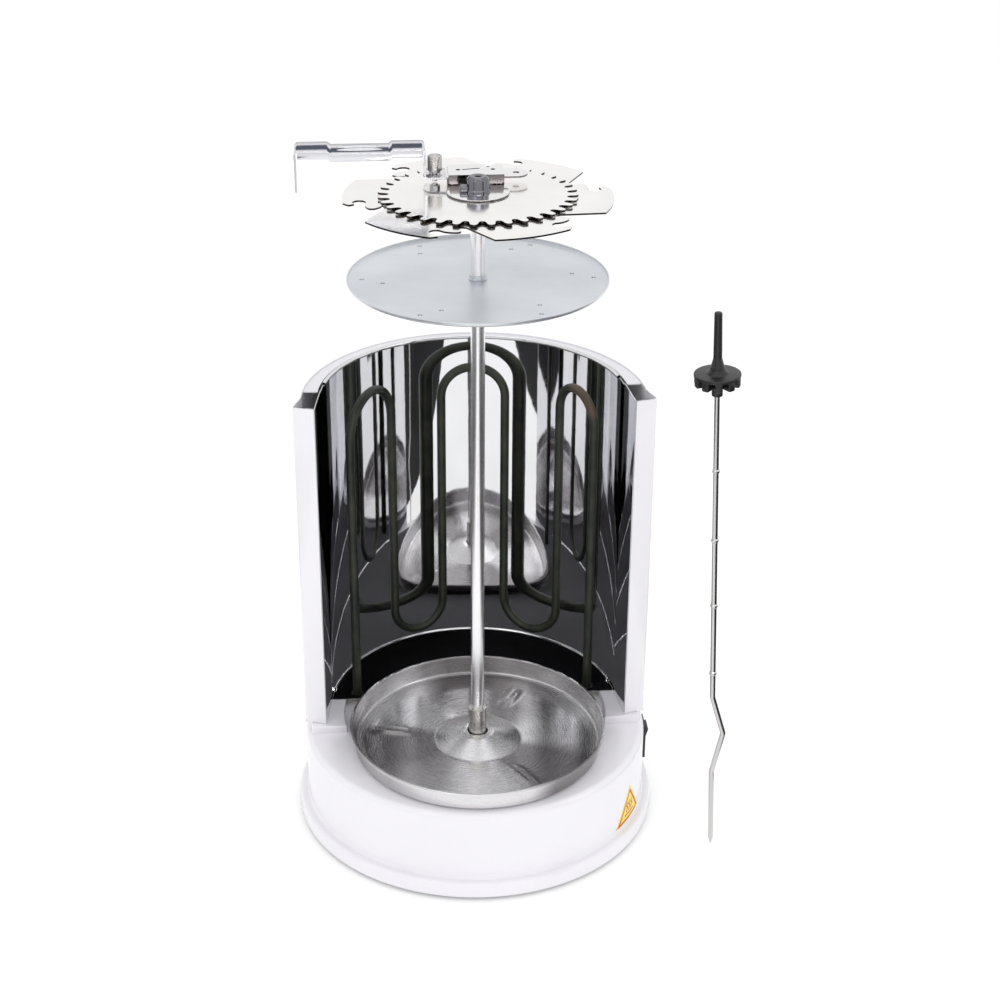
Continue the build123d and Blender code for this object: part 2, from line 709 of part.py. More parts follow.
def plate_collar():
    """Crimped collar that grips the rod and carries the plate."""
    z = plate_z
    low = z - 4.5
    bore = rod_r + run_gap
    profile = [
        (bore, low), (collar_r - 0.6, low), (collar_r, low + 0.8), (collar_r, z - 1.2),
        (collar_r + 1.6, z - 0.8), (collar_r + 1.6, z), (rod_r + 0.9, z), (rod_r + 0.9, z + plate_t),
        (collar_r + 0.8, z + plate_t), (collar_r, z + plate_t + 0.6), (collar_r, low + collar_h - 0.8),
        (collar_r - 0.6, low + collar_h), (bore, low + collar_h),
    ]
    return turned(profile, 0, spindle_y)


def support_bracket():
    """Cranked strip: long leg, dipped beam, short leg and foot with the screw hole."""
    w, t = strip_w / 2, strip_t
    foot_x0 = tab_x - strip_foot / 2
    beam_z = foot_z + strip_rise
    left = foot_x0 - strip_span
    quarter = strip_span / 4
    ramp = 2.5
    dip_z = beam_z - beam_dip
    under = [(left + quarter, beam_z), (left + quarter + ramp, dip_z), (foot_x0 - quarter - ramp, dip_z),
             (foot_x0 - quarter, beam_z)]
    foot_x1 = foot_x0 + strip_foot
    outline = [(left, beam_z), *under, (foot_x0, beam_z), (foot_x0, foot_z), (foot_x1, foot_z),
               (foot_x1, foot_z + t), (foot_x0 + t, foot_z + t), (foot_x0 + t, beam_z + t),
               *[(x, z + t) for x, z in reversed(under)],
               (left - t, beam_z + t), (left - t, beam_z - strip_leg), (left, beam_z - strip_leg)]
    body = extrude(Plane.XZ * make_face(Polyline(*outline, close=True)), w, both=True)
    body = Pos(0, hat_mid_y, 0) * body
    leg_low, leg_high = beam_z - strip_leg - 1, beam_z - 6
    for side in (-1, 1):
        y0 = hat_mid_y + side * strip_w / 2
        y1 = hat_mid_y + side * (strip_w / 2 - leg_shoulder)
        body = body - block(left - t - 1, left + 1, min(y0, y1), max(y0, y1), leg_low, leg_high)
    ridge = Rot(0, 90, 0) * Cylinder(rib_r, strip_span - 2 * quarter - 12)
    ridge = Pos((left + foot_x0) / 2, hat_mid_y, dip_z + t) * ridge
    body = body + (ridge & block(left, foot_x0, -far, far, dip_z + t / 2, far))
    return body - rod(thumb_shank_r + free_gap, foot_z - 1, foot_z + 3, tab_x, hat_mid_y)


def thumb_screw():
    z = foot_z + strip_t
    head = rod(thumb_r, z + 1, z + thumb_h, tab_x, hat_mid_y)
    head = chamfer(head.edges().filter_by(GeomType.CIRCLE), 0.6)
    neck = rod(thumb_r - 1, z, z + 1.2, tab_x, hat_mid_y)
    shank = rod(thumb_shank_r, tab_z - 3.6, z + 1, tab_x, hat_mid_y)
    return head + neck + shank


def tab_nut():
    nut = extrude(Pos(tab_x, hat_mid_y, tab_z - 2.4) * RegularPolygon(3.6, 6), 2.4)
    return nut - rod(thumb_shank_r + run_gap, 0, far, tab_x, hat_mid_y)


# ---------------------------------------------------------------- skewer
def lean(shape):
    """Stand a skewer piece at its place, leaning a little towards the base."""
    return Pos(skewer_x, skewer_y, 0) * Rot(0, -skewer_lean, 0) * shape


def skewer_rod():
    path = FilletPolyline((0, 0, 6), (0, 0, crank_low), (crank_reach, 0, crank_peak), (0, 0, crank_high),
                          (0, 0, gear_z + 4), radius=6)
    body = sweep(Plane(path @ 0, z_dir=path % 0) * Circle(skewer_rod_r), path)
    body = body + turned([(0, 0.3), (0.5, 0.3), (skewer_rod_r, 6), (0, 6)])
    for z in crimp_heights:
        swell = skewer_rod_r + 0.7
        profile = [(0, z - 2), (skewer_rod_r - 0.2, z - 2), (swell, z - 0.6), (swell, z + 0.6),
                   (skewer_rod_r - 0.2, z + 2), (0, z + 2)]
        body = body + turned(profile)
    return lean(body)


def skewer_gear():
    """Moulded drive gear with its boss, flare and handle."""
    low, high = gear_z, gear_z + gear_h
    body = rod(gear_r - 4.5, low, high)
    for k in range(gear_teeth):
        tooth = Rot(0, 0, 360 / gear_teeth * k) * block(gear_r - 6, gear_r, -2.9, 2.9, low + 0.8, high)
        body = body + tooth
    body = body + rod(3.9, boss_z, low + 1)
    flare = [(0, high - 1), (7, high - 1), (6.2, high + 2), (4.4, high + 9), (0, high + 9)]
    handle = [(0, high + 7), (3.8, high + 7), (handle_r, high + 16), (handle_r, handle_top - 2),
              (handle_r - 1, handle_top), (0, handle_top)]
    body = body + turned(flare) + turned(handle)
    bore = rod(skewer_rod_r + 0.02, boss_z - 1, gear_z + 4)
    return lean(body - bore)


# ---------------------------------------------------------------- write the nodes
NODES = {
    "base_housing": base_housing,
    "base_cover": base_cover,
    "rubber_feet": rubber_feet,
    "cover_screws": cover_screws,
    "gear_motor": gear_motor,
    "motor_screws": motor_screws,
    "drive_socket": drive_socket,
    "socket_bush": socket_bush,
    "terminal_block": terminal_block,
    "thermal_cutout": thermal_cutout,
    "switch_frame": switch_frame,
    "switch_rocker": switch_rocker,
    "cord_inlet": cord_inlet,
    "heat_sticker": heat_sticker,
    "drip_tray": drip_tray,
    "outer_shell": outer_shell,
    "inner_reflector": inner_reflector,
    "left_channel": lambda: side_channel(-1),
    "right_channel": lambda: side_channel(1),
    "shield_brackets": shield_brackets,
    "shield_screws": shield_screws,
    "heating_element": heating_element,
    "heater_insulators": heater_insulators,
    "heater_terminals": heater_terminals,
    "center_rod": center_rod,
    "petal_disc": petal_disc,
    "spacer_washer": spacer_washer,
    "toothed_disc": toothed_disc,
    "hat_bracket": hat_bracket,
    "bracket_rivets": bracket_rivets,
    "hub_washer": hub_washer,
    "hub": hub,
    "hub_set_screw": hub_set_screw,
    "skewer_plate": skewer_plate,
    "plate_collar": plate_collar,
    "support_bracket": support_bracket,
    "thumb_screw": thumb_screw,
    "tab_nut": tab_nut,
    "skewer_rod": skewer_rod,
    "skewer_gear": skewer_gear,
}

for node_name, make in NODES.items():
    save(make(), node_name)
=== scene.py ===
"""Looks of the upright rotisserie grill: finishes, remodelled shells and sheet parts, studio and camera."""
import json
from math import atan2, cos, degrees, pi, radians, sin, sqrt, tan

import bpy
from mathutils import Matrix, Vector


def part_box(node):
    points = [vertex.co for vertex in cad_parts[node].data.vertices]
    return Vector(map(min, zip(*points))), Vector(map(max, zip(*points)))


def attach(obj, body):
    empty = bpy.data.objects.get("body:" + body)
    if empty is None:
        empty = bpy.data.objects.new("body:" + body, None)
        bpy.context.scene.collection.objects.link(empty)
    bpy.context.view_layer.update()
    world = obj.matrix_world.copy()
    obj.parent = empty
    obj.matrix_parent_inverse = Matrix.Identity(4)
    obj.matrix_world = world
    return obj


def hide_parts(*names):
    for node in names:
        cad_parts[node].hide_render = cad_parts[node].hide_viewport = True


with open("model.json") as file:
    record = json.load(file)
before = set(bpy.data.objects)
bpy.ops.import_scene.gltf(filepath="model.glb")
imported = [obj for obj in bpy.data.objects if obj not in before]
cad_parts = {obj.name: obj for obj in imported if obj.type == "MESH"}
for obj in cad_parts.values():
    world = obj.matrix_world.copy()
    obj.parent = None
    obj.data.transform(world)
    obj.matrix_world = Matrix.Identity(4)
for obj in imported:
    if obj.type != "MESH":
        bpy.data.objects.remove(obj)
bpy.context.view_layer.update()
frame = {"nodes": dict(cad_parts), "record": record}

MM = 0.001
FAR = 200 * MM        # reach of a cutter that goes right through
ARC_STEPS = 6         # straight runs in a drawn corner


# ---------------------------------------------------------------- places read from the frame
RECORD = frame["record"]
SLOT_OF = {row["node"]: row["material_slot"] for row in RECORD["subparts"]}
BODY_OF = {node: body for body, nodes in RECORD["behaviour"]["bodies"].items() for node in nodes}

housing_low, housing_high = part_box("base_housing")
tray_low, tray_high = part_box("drip_tray")
rod_low, rod_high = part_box("center_rod")
shell_low, shell_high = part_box("outer_shell")
skin_low, skin_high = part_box("inner_reflector")
washer_low, washer_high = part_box("hub_washer")
hub_low, hub_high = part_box("hub")
plate_low, plate_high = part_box("skewer_plate")
collar_low, collar_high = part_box("plate_collar")
strip_low, strip_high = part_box("support_bracket")
thumb_low, thumb_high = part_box("thumb_screw")
sticker_low, sticker_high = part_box("heat_sticker")
petal_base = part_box("petal_disc")[0].z
ring_r = housing_high.x
pad_top = housing_high.z
rod_r = (rod_high.x - rod_low.x) / 2
spindle_y = (rod_low.y + rod_high.y) / 2


# ---------------------------------------------------------------- studio
CAMERA_AZIMUTH = -3.58
CAMERA_TILT = 26.42
CAMERA_DISTANCE = 1.457
CAMERA_TARGET_Z = 0.2635
CAMERA_LENS = 70.2
CAMERA_SENSOR = 36.0
CAMERA_SHIFT = 0.025
WORLD_STRENGTH = 0.92
FLOOR_GLOW = 0.12
GRILL_MIDDLE = (0, 0, 0.3)
BASE_MIDDLE = (0, 0, 0.05)


def add_camera():
    data = bpy.data.cameras.new("studio_camera")
    data.lens = CAMERA_LENS
    data.sensor_width = CAMERA_SENSOR
    data.shift_x = CAMERA_SHIFT
    camera = bpy.data.objects.new("studio_camera", data)
    bpy.context.scene.collection.objects.link(camera)
    around, down = radians(CAMERA_AZIMUTH), radians(CAMERA_TILT)
    back = Vector((sin(around) * cos(down), -cos(around) * cos(down), sin(down)))
    camera.location = Vector((0, 0, CAMERA_TARGET_Z)) + back * CAMERA_DISTANCE
    camera.rotation_euler = (pi / 2 - down, 0, around)
    bpy.context.scene.camera = camera


def add_softbox(name, place, target, size, power):
    data = bpy.data.lights.new(name, "AREA")
    data.shape = "RECTANGLE"
    data.size, data.size_y = size
    data.energy = power
    lamp = bpy.data.objects.new(name, data)
    bpy.context.scene.collection.objects.link(lamp)
    lamp.location = place
    lamp.rotation_euler = (Vector(target) - Vector(place)).to_track_quat("-Z", "Y").to_euler()


def plain_material(name, colour, roughness):
    material = bpy.data.materials.new(name)
    material.use_nodes = True
    shader = material.node_tree.nodes["Principled BSDF"]
    shader.inputs["Base Color"].default_value = (*colour, 1)
    shader.inputs["Roughness"].default_value = roughness
    return material


FLAG_BLACK = plain_material("flag_black", (0.004, 0.004, 0.006), 0.9)
FLAG_SLATE = plain_material("flag_slate", (0.10, 0.11, 0.15), 0.9)
FLAG_GREY = plain_material("flag_grey", (0.10, 0.098, 0.108), 0.9)


def hide_from_all_but_mirrors(card):
    card.visible_camera = False
    card.visible_shadow = False
    card.visible_diffuse = False


def add_card(name, place, size, rotation, paint):
    """Dark card that only reflections see."""
    bpy.ops.object.select_all(action="DESELECT")
    bpy.ops.mesh.primitive_plane_add(size=1, location=place, rotation=rotation)
    card = bpy.context.object
    card.name = name
    card.scale = (*size, 1)
    card.data.materials.append(paint)
    hide_from_all_but_mirrors(card)


def add_upright_flag(name, place, size, angle, paint=FLAG_BLACK):
    add_card(name, place, size, (pi / 2, 0, radians(angle)), paint)


def add_floor_flag(name, x0, x1, y0, y1):
    add_card(name, ((x0 + x1) / 2, (y0 + y1) / 2, 1 * MM), (x1 - x0, y1 - y0), (0, 0, 0), FLAG_BLACK)


def add_floor():
    bpy.ops.object.select_all(action="DESELECT")
    bpy.ops.mesh.primitive_plane_add(size=12, location=(0, 0, 0))
    floor = bpy.context.object
    floor.name = "studio_floor"
    paper = plain_material("floor_paper", (0.95, 0.95, 0.952), 0.8)
    shader = paper.node_tree.nodes["Principled BSDF"]
    shader.inputs["Emission Color"].default_value = (1, 1, 1, 1)
    shader.inputs["Emission Strength"].default_value = FLOOR_GLOW
    floor.data.materials.append(paper)


def add_world():
    world = bpy.data.worlds.new("studio_world")
    world.use_nodes = True
    background = world.node_tree.nodes["Background"]
    background.inputs["Color"].default_value = (1, 1, 1, 1)
    background.inputs["Strength"].default_value = WORLD_STRENGTH
    bpy.context.scene.world = world
    bpy.context.scene.view_settings.view_transform = "Standard"


def add_studio():
    """White room with soft lights, and dark cards that give the mirror sheet its bands."""
    add_floor()
    add_world()
    add_softbox("key_softbox", place=(-1.3, -1.6, 2.0), target=GRILL_MIDDLE, size=(1.2, 1.2), power=5)
    add_softbox("fill_softbox", place=(1.6, -1.0, 1.6), target=GRILL_MIDDLE, size=(1.2, 1.2), power=3)
    add_softbox("top_softbox", place=(0, 0.2, 2.4), target=GRILL_MIDDLE, size=(1.6, 1.6), power=4)
    add_softbox("strip_softbox", place=(0.1, -1.5, 1.1), target=BASE_MIDDLE, size=(1.1, 0.07), power=1.5)
    add_upright_flag("left_flag", place=(-0.95, -1.0, 0.6), size=(1.3, 1.3), angle=50)
    add_upright_flag("right_flag", place=(0.80, -0.8, 0.6), size=(1.3, 1.3), angle=-50)
    add_floor_flag("left_floor_flag", x0=-1.6, x1=-0.46, y0=-1.6, y1=0.3)
    add_floor_flag("right_floor_flag", x0=0.27, x1=1.6, y0=-1.6, y1=0.3)
    add_floor_flag("front_floor_flag", x0=-0.075, x1=0.02, y0=-0.86, y1=-0.57)
    add_upright_flag("bracket_flag", place=(-0.082, 0.018, 0.549), size=(0.10, 0.016), angle=0,
                     paint=FLAG_SLATE)


# ---------------------------------------------------------------- shared effects
def link(tree, source, target):
    tree.links.new(source, target)


def maths(tree, operation, *values):
    """One Math node; each value is a number or a socket."""
    node = tree.nodes.new("ShaderNodeMath")
    node.operation = operation
    for socket, value in zip(node.inputs, values):
        if isinstance(value, (int, float)):
            socket.default_value = value
        else:
            link(tree, value, socket)
    return node.outputs[0]


def add_up(tree, first, *others):
    for value in others:
        first = maths(tree, "ADD", first, value)
    return first


def times(tree, first, *others):
    for value in others:
        first = maths(tree, "MULTIPLY", first, value)
    return first


def new_group(name, inputs, outputs):
    """Empty shader node group with named inputs (name, default) and named outputs, all plain values."""
    group = bpy.data.node_groups.new(name, "ShaderNodeTree")
    for label, value in inputs:
        socket = group.interface.new_socket(label, in_out="INPUT", socket_type="NodeSocketFloat")
        socket.default_value = value
    for label in outputs:
        group.interface.new_socket(label, in_out="OUTPUT", socket_type="NodeSocketFloat")
    return group, group.nodes.new("NodeGroupInput"), group.nodes.new("NodeGroupOutput")


def object_noise(group, detail):
    """Noise texture, and the Object coordinates that it will read."""
    place = group.nodes.new("ShaderNodeTexCoord")
    noise = group.nodes.new("ShaderNodeTexNoise")
    noise.inputs["Detail"].default_value = detail
    return place.outputs["Object"], noise


def spread_about_middle(group, entry, value):
    """Middle + Spread * (value - 0.5)."""
    centred = maths(group, "SUBTRACT", value, 0.5)
    return maths(group, "MULTIPLY_ADD", centred, entry.outputs["Spread"], entry.outputs["Middle"])


def make_grain_group():
    """Fine lines along X: gives a height and a roughness."""
    group, entry, out = new_group(
        "metal_grain", (("Along", 8.0), ("Across", 900.0), ("Spread", 0.12), ("Middle", 0.3)),
        ("Height", "Roughness"))
    place, noise = object_noise(group, 4.0)
    scale = group.nodes.new("ShaderNodeCombineXYZ")
    stretch = group.nodes.new("ShaderNodeVectorMath")
    stretch.operation = "MULTIPLY"
    noise.inputs["Scale"].default_value = 1.0
    link(group, entry.outputs["Along"], scale.inputs["X"])
    link(group, entry.outputs["Across"], scale.inputs["Y"])
    link(group, entry.outputs["Across"], scale.inputs["Z"])
    link(group, place, stretch.inputs[0])
    link(group, scale.outputs[0], stretch.inputs[1])
    link(group, stretch.outputs[0], noise.inputs["Vector"])
    link(group, noise.outputs["Fac"], out.inputs["Height"])
    link(group, spread_about_middle(group, entry, noise.outputs["Fac"]), out.inputs["Roughness"])
    return group


def make_mottle_group():
    """Slow cloudy change, as handling and heat leave it: gives a mask and a roughness."""
    group, entry, out = new_group(
        "mottle", (("Scale", 30.0), ("Spread", 0.08), ("Middle", 0.3)), ("Mask", "Roughness"))
    place, noise = object_noise(group, 5.0)
    link(group, place, noise.inputs["Vector"])
    link(group, entry.outputs["Scale"], noise.inputs["Scale"])
    link(group, noise.outputs["Fac"], out.inputs["Mask"])
    link(group, spread_about_middle(group, entry, noise.outputs["Fac"]), out.inputs["Roughness"])
    return group


def make_peel_group():
    """Very fine pebbling of enamel and moulded plastic: gives a height."""
    group, entry, out = new_group("fine_peel", (("Scale", 700.0),), ("Height",))
    place, noise = object_noise(group, 2.0)
    link(group, place, noise.inputs["Vector"])
    link(group, entry.outputs["Scale"], noise.inputs["Scale"])
    link(group, noise.outputs["Fac"], out.inputs["Height"])
    return group


GRAIN = make_grain_group()
MOTTLE = make_mottle_group()
PEEL = make_peel_group()


# ---------------------------------------------------------------- finishes
TINT_FROM, TINT_TO = 0.35, 0.65     # mask values between which a tint goes from one colour to the other
TRAY_CONE_R = 33.5 * MM
TRAY_WALL_R = 93.5 * MM
SCORCH_X, SCORCH_RUN = 74 * MM, 8 * MM
SCORCH_Z, SCORCH_RISE = 312 * MM, 14 * MM
SCORCH_MOST = 0.45
STICKER_WIDE = 44 * MM
STICKER_TALL = sticker_high.z - sticker_low.z
STICKER_TURN = 60
STICKER_RED = (0.48, 0.0, 0.01)
STICKER_YELLOW = (0.95, 0.70, 0.04)


def start_material(name, colour, metallic, roughness):
    material = plain_material(name, colour, roughness)
    tree = material.node_tree
    shader = tree.nodes["Principled BSDF"]
    shader.inputs["Metallic"].default_value = metallic
    return material, tree, shader


def place_group(tree, group, **values):
    node = tree.nodes.new("ShaderNodeGroup")
    node.node_tree = group
    for label, value in values.items():
        node.inputs[label].default_value = value
    return node


def add_bump(tree, shader, height, strength, distance):
    bump = tree.nodes.new("ShaderNodeBump")
    bump.inputs["Strength"].default_value = strength
    bump.inputs["Distance"].default_value = distance
    link(tree, height, bump.inputs["Height"])
    link(tree, bump.outputs["Normal"], shader.inputs["Normal"])


def add_peel(tree, shader, scale, strength, distance=0.4 * MM):
    peel = place_group(tree, PEEL, Scale=scale)
    add_bump(tree, shader, peel.outputs["Height"], strength, distance)


def tint_by(tree, shader, mask, first, second):
    """Mix two colours by a mask into the base colour."""
    ramp = tree.nodes.new("ShaderNodeValToRGB")
    ramp.color_ramp.elements[0].position = TINT_FROM
    ramp.color_ramp.elements[1].position = TINT_TO
    ramp.color_ramp.elements[0].color = (*first, 1)
    ramp.color_ramp.elements[1].color = (*second, 1)
    link(tree, mask, ramp.inputs["Fac"])
    link(tree, ramp.outputs["Color"], shader.inputs["Base Color"])


def shaded(colour, share):
    return tuple(share * c for c in colour)


def colour_where(tree, shader, mask, colour):
    """Put a colour over the base colour where the mask is 1."""
    mix = tree.nodes.new("ShaderNodeMix")
    mix.data_type = "RGBA"
    factor, below, above = mix.inputs[0], mix.inputs[6], mix.inputs[7]
    link(tree, mask, factor)
    link(tree, shader.inputs["Base Color"].links[0].from_socket, below)
    above.default_value = (*colour, 1)
    link(tree, mix.outputs[2], shader.inputs["Base Color"])


def object_axes(tree, centre=(0, 0, 0), turn_z=0.0):
    """X, Y and Z of the Object coordinates, measured from a centre and turned about Z."""
    place = tree.nodes.new("ShaderNodeTexCoord")
    level = tree.nodes.new("ShaderNodeMapping")
    level.vector_type = "TEXTURE"
    level.inputs["Location"].default_value = centre
    level.inputs["Rotation"].default_value = (0, 0, turn_z)
    axes = tree.nodes.new("ShaderNodeSeparateXYZ")
    link(tree, place.outputs["Object"], level.inputs["Vector"])
    link(tree, level.outputs[0], axes.inputs[0])
    return axes.outputs[0], axes.outputs[1], axes.outputs[2]


def enamel():
    material, tree, shader = start_material("white_enamel", (0.88, 0.88, 0.91), 0.0, 0.2)
    shader.inputs["Coat Weight"].default_value = 0.35
    shader.inputs["Coat Roughness"].default_value = 0.08
    mottle = place_group(tree, MOTTLE, Scale=14.0, Spread=0.06, Middle=0.22)
    link(tree, mottle.outputs["Roughness"], shader.inputs["Roughness"])
    tint_by(tree, shader, mottle.outputs["Mask"], (0.835, 0.822, 0.862), (0.85, 0.838, 0.878))
    add_peel(tree, shader, 420.0, 0.05)
    return material


def polished(name, colour, roughness, smear):
    """Bright sheet or bar with faint cloudy wipe marks."""
    material, tree, shader = start_material(name, colour, 1.0, roughness)
    mottle = place_group(tree, MOTTLE, Scale=22.0, Spread=smear, Middle=roughness)
    link(tree, mottle.outputs["Roughness"], shader.inputs["Roughness"])
    tint_by(tree, shader, mottle.outputs["Mask"], shaded(colour, 0.94), colour)
    add_peel(tree, shader, 60.0, 0.04, 0.6 * MM)
    return material


def polished_with_painted_side_shade(name, colour, roughness, smear, side_shade_colour):
    """Polished flat sheet with painted shade on its upright faces, the cut edges and folded walls: they take
    a dark colour by face direction, in place of the dark reflections and shadow that fall there.
    """
    material = polished(name, colour, roughness, smear)
    tree = material.node_tree
    facing = tree.nodes.new("ShaderNodeNewGeometry")
    axes = tree.nodes.new("ShaderNodeSeparateXYZ")
    link(tree, facing.outputs["True Normal"], axes.inputs[0])
    # Painted shade: faces that stand upright, found by their normal, are coloured dark.
    upright = maths(tree, "LESS_THAN", maths(tree, "ABSOLUTE", axes.outputs[2]), 0.5)
    colour_where(tree, tree.nodes["Principled BSDF"], upright, side_shade_colour)
    return material


def tray_steel():
    """Drawn steel: fine rings about the spindle, and a painted sheen: light and dark sectors by bearing about
    the spindle, and a painted highlight on the cone and on the outer wall, over random mottle.
    """
    material, tree, shader = start_material("brushed_steel", (0.55, 0.54, 0.55), 1.0, 0.3)
    x, y, _ = object_axes(tree, (0, spindle_y, 0))
    angle = maths(tree, "ARCTAN2", y, x)
    radius = maths(tree, "SQRT", add_up(tree, times(tree, x, x), times(tree, y, y)))
    # Painted sheen: light and dark sectors by bearing about the spindle, in place of the reflections of drawn
    # steel.
    painted_sheen_sectors = maths(tree, "SINE", add_up(tree, times(tree, angle, 3.0), 0.6))
    painted_sheen_ripple = maths(tree, "SINE", add_up(tree, times(tree, angle, 5.0), 2.0))
    # Painted highlights: the cone and the outer wall are made lighter.
    cone = maths(tree, "LESS_THAN", radius, TRAY_CONE_R)
    wall = maths(tree, "GREATER_THAN", radius, TRAY_WALL_R)
    mottle = place_group(tree, MOTTLE, Scale=26.0)
    light = add_up(tree, 0.34, times(tree, painted_sheen_sectors, 0.26), times(tree, painted_sheen_ripple, 0.12), times(tree, cone, 0.5),
                   times(tree, wall, 0.12), times(tree, mottle.outputs["Mask"], 0.24))
    # The colour here is mostly painted light and shade, partly random mottle.
    tint_by(tree, shader, light, (0.30, 0.285, 0.29), (0.74, 0.73, 0.74))
    rings = tree.nodes.new("ShaderNodeTexNoise")
    rings.noise_dimensions = "2D"
    rings.inputs["Scale"].default_value = 1.0
    rings.inputs["Detail"].default_value = 3.0
    polar = tree.nodes.new("ShaderNodeCombineXYZ")
    link(tree, times(tree, radius, 1500.0), polar.inputs["X"])
    link(tree, times(tree, angle, 3.0), polar.inputs["Y"])
    link(tree, polar.outputs[0], rings.inputs["Vector"])
    roughness = add_up(tree, 0.16, times(tree, rings.outputs["Fac"], 0.22))
    link(tree, roughness, shader.inputs["Roughness"])
    add_bump(tree, shader, rings.outputs["Fac"], 0.07, 0.3 * MM)
    return material


def brushed(name, colour, roughness, along, across, strength):
    """Metal with fine grain lines along X."""
    material, tree, shader = start_material(name, colour, 1.0, roughness)
    grain = place_group(tree, GRAIN, Along=along, Across=across, Spread=0.22, Middle=roughness)
    link(tree, grain.outputs["Roughness"], shader.inputs["Roughness"])
    mottle = place_group(tree, MOTTLE, Scale=16.0)
    tint_by(tree, shader, mottle.outputs["Mask"], shaded(colour, 0.9), colour)
    add_bump(tree, shader, grain.outputs["Height"], strength, 0.3 * MM)
    return material


def moulded(name, colour, roughness, scale, strength):
    """Plastic, rubber or ceramic with a fine skin."""
    material, tree, shader = start_material(name, colour, 0.0, roughness)
    mottle = place_group(tree, MOTTLE, Scale=60.0, Spread=0.15, Middle=roughness)
    link(tree, mottle.outputs["Roughness"], shader.inputs["Roughness"])
    tint_by(tree, shader, mottle.outputs["Mask"], shaded(colour, 0.85), colour)
    add_peel(tree, shader, scale, strength)
    return material


def element_oxide():
    """Dark green-black oxide, scorched brown on the top right bend."""
    material, tree, shader = start_material("element_oxide", (0.03, 0.034, 0.026), 0.35, 0.34)
    mottle = place_group(tree, MOTTLE, Scale=45.0, Spread=0.16, Middle=0.36)
    link(tree, mottle.outputs["Roughness"], shader.inputs["Roughness"])
    tint_by(tree, shader, mottle.outputs["Mask"], (0.013, 0.017, 0.012), (0.034, 0.038, 0.024))
    x, _, z = object_axes(tree)
    right = times(tree, maths(tree, "SUBTRACT", x, SCORCH_X), 1 / SCORCH_RUN)
    high_up = times(tree, maths(tree, "SUBTRACT", z, SCORCH_Z), 1 / SCORCH_RISE)
    scorch = maths(tree, "MAXIMUM", maths(tree, "MINIMUM", right, high_up), 0.0)
    colour_where(tree, shader, maths(tree, "MINIMUM", scorch, SCORCH_MOST), (0.15, 0.09, 0.055))
    add_peel(tree, shader, 900.0, 0.2, 0.3 * MM)
    return material


def between(tree, value, least, most):
    """1 where a value lies between two others."""
    return times(tree, maths(tree, "GREATER_THAN", value, least), maths(tree, "LESS_THAN", value, most))


def sticker():
    """Yellow triangle with a red inner border, three wavy heat lines and a bar under them."""
    material, tree, shader = start_material("sticker_yellow", (0.95, 0.62, 0.02), 0.0, 0.3)
    x, _, z = object_axes(tree, (0, 0, sticker_low.z), radians(STICKER_TURN))
    across = maths(tree, "ABSOLUTE", x)
    half = STICKER_WIDE / 2
    lean = sqrt(half * half + STICKER_TALL * STICKER_TALL)
    sloping = add_up(tree, times(tree, across, STICKER_TALL / lean), times(tree, z, half / lean))
    inwards = maths(tree, "SUBTRACT", half * STICKER_TALL / lean, sloping)
    border = between(tree, maths(tree, "MINIMUM", inwards, z), 1.5 * MM, 3.3 * MM)
    sway = times(tree, maths(tree, "SINE", times(tree, z, 2 * pi / (5.5 * MM))), 0.9 * MM)
    waves = 0.0
    for middle in (-4.2 * MM, 0.0, 4.2 * MM):
        beside = maths(tree, "SUBTRACT", maths(tree, "SUBTRACT", x, middle), sway)
        waves = add_up(tree, waves, maths(tree, "LESS_THAN", maths(tree, "ABSOLUTE", beside), 1.0 * MM))
    waves = times(tree, waves, between(tree, z, 9 * MM, 17.5 * MM))
    bar = times(tree, maths(tree, "LESS_THAN", across, 8 * MM), between(tree, z, 5.9 * MM, 7.3 * MM))
    print_mask = maths(tree, "MINIMUM", add_up(tree, border, waves, bar), 1.0)
    tint_by(tree, shader, print_mask, STICKER_YELLOW, STICKER_RED)
    add_peel(tree, shader, 300.0, 0.04)
    return material


FINISHES = {
    "white_enamel": enamel(),
    "mirror_steel": polished("mirror_steel", (0.78, 0.78, 0.80), 0.035, 0.03),
    # Polished sheet with near-black painted shade on its upright faces.
    "polished_sheet": polished_with_painted_side_shade(
        "polished_sheet", (1.0, 0.985, 0.97), 0.14, 0.06, (0.05, 0.042, 0.038)),
    "chrome": polished("chrome", (0.72, 0.72, 0.755), 0.13, 0.05),
    "brushed_steel": tray_steel(),
    "aluminium": brushed("aluminium", (0.78, 0.81, 0.85), 0.38, 30.0, 500.0, 0.08),
    "turned_steel": brushed("turned_steel", (0.62, 0.60, 0.57), 0.28, 60.0, 1400.0, 0.2),
    "zinc_steel": brushed("zinc_steel", (0.55, 0.56, 0.58), 0.4, 40.0, 600.0, 0.1),
    "element_oxide": element_oxide(),
    "black_plastic": moulded("black_plastic", (0.012, 0.012, 0.013), 0.36, 900.0, 0.15),
    "black_rubber": moulded("black_rubber", (0.02, 0.02, 0.02), 0.7, 1200.0, 0.3),
    "ceramic": moulded("ceramic", (0.72, 0.69, 0.62), 0.3, 300.0, 0.06),
    "terminal_plastic": moulded("terminal_plastic", (0.75, 0.73, 0.66), 0.45, 500.0, 0.1),
    "sticker_yellow": sticker(),
}
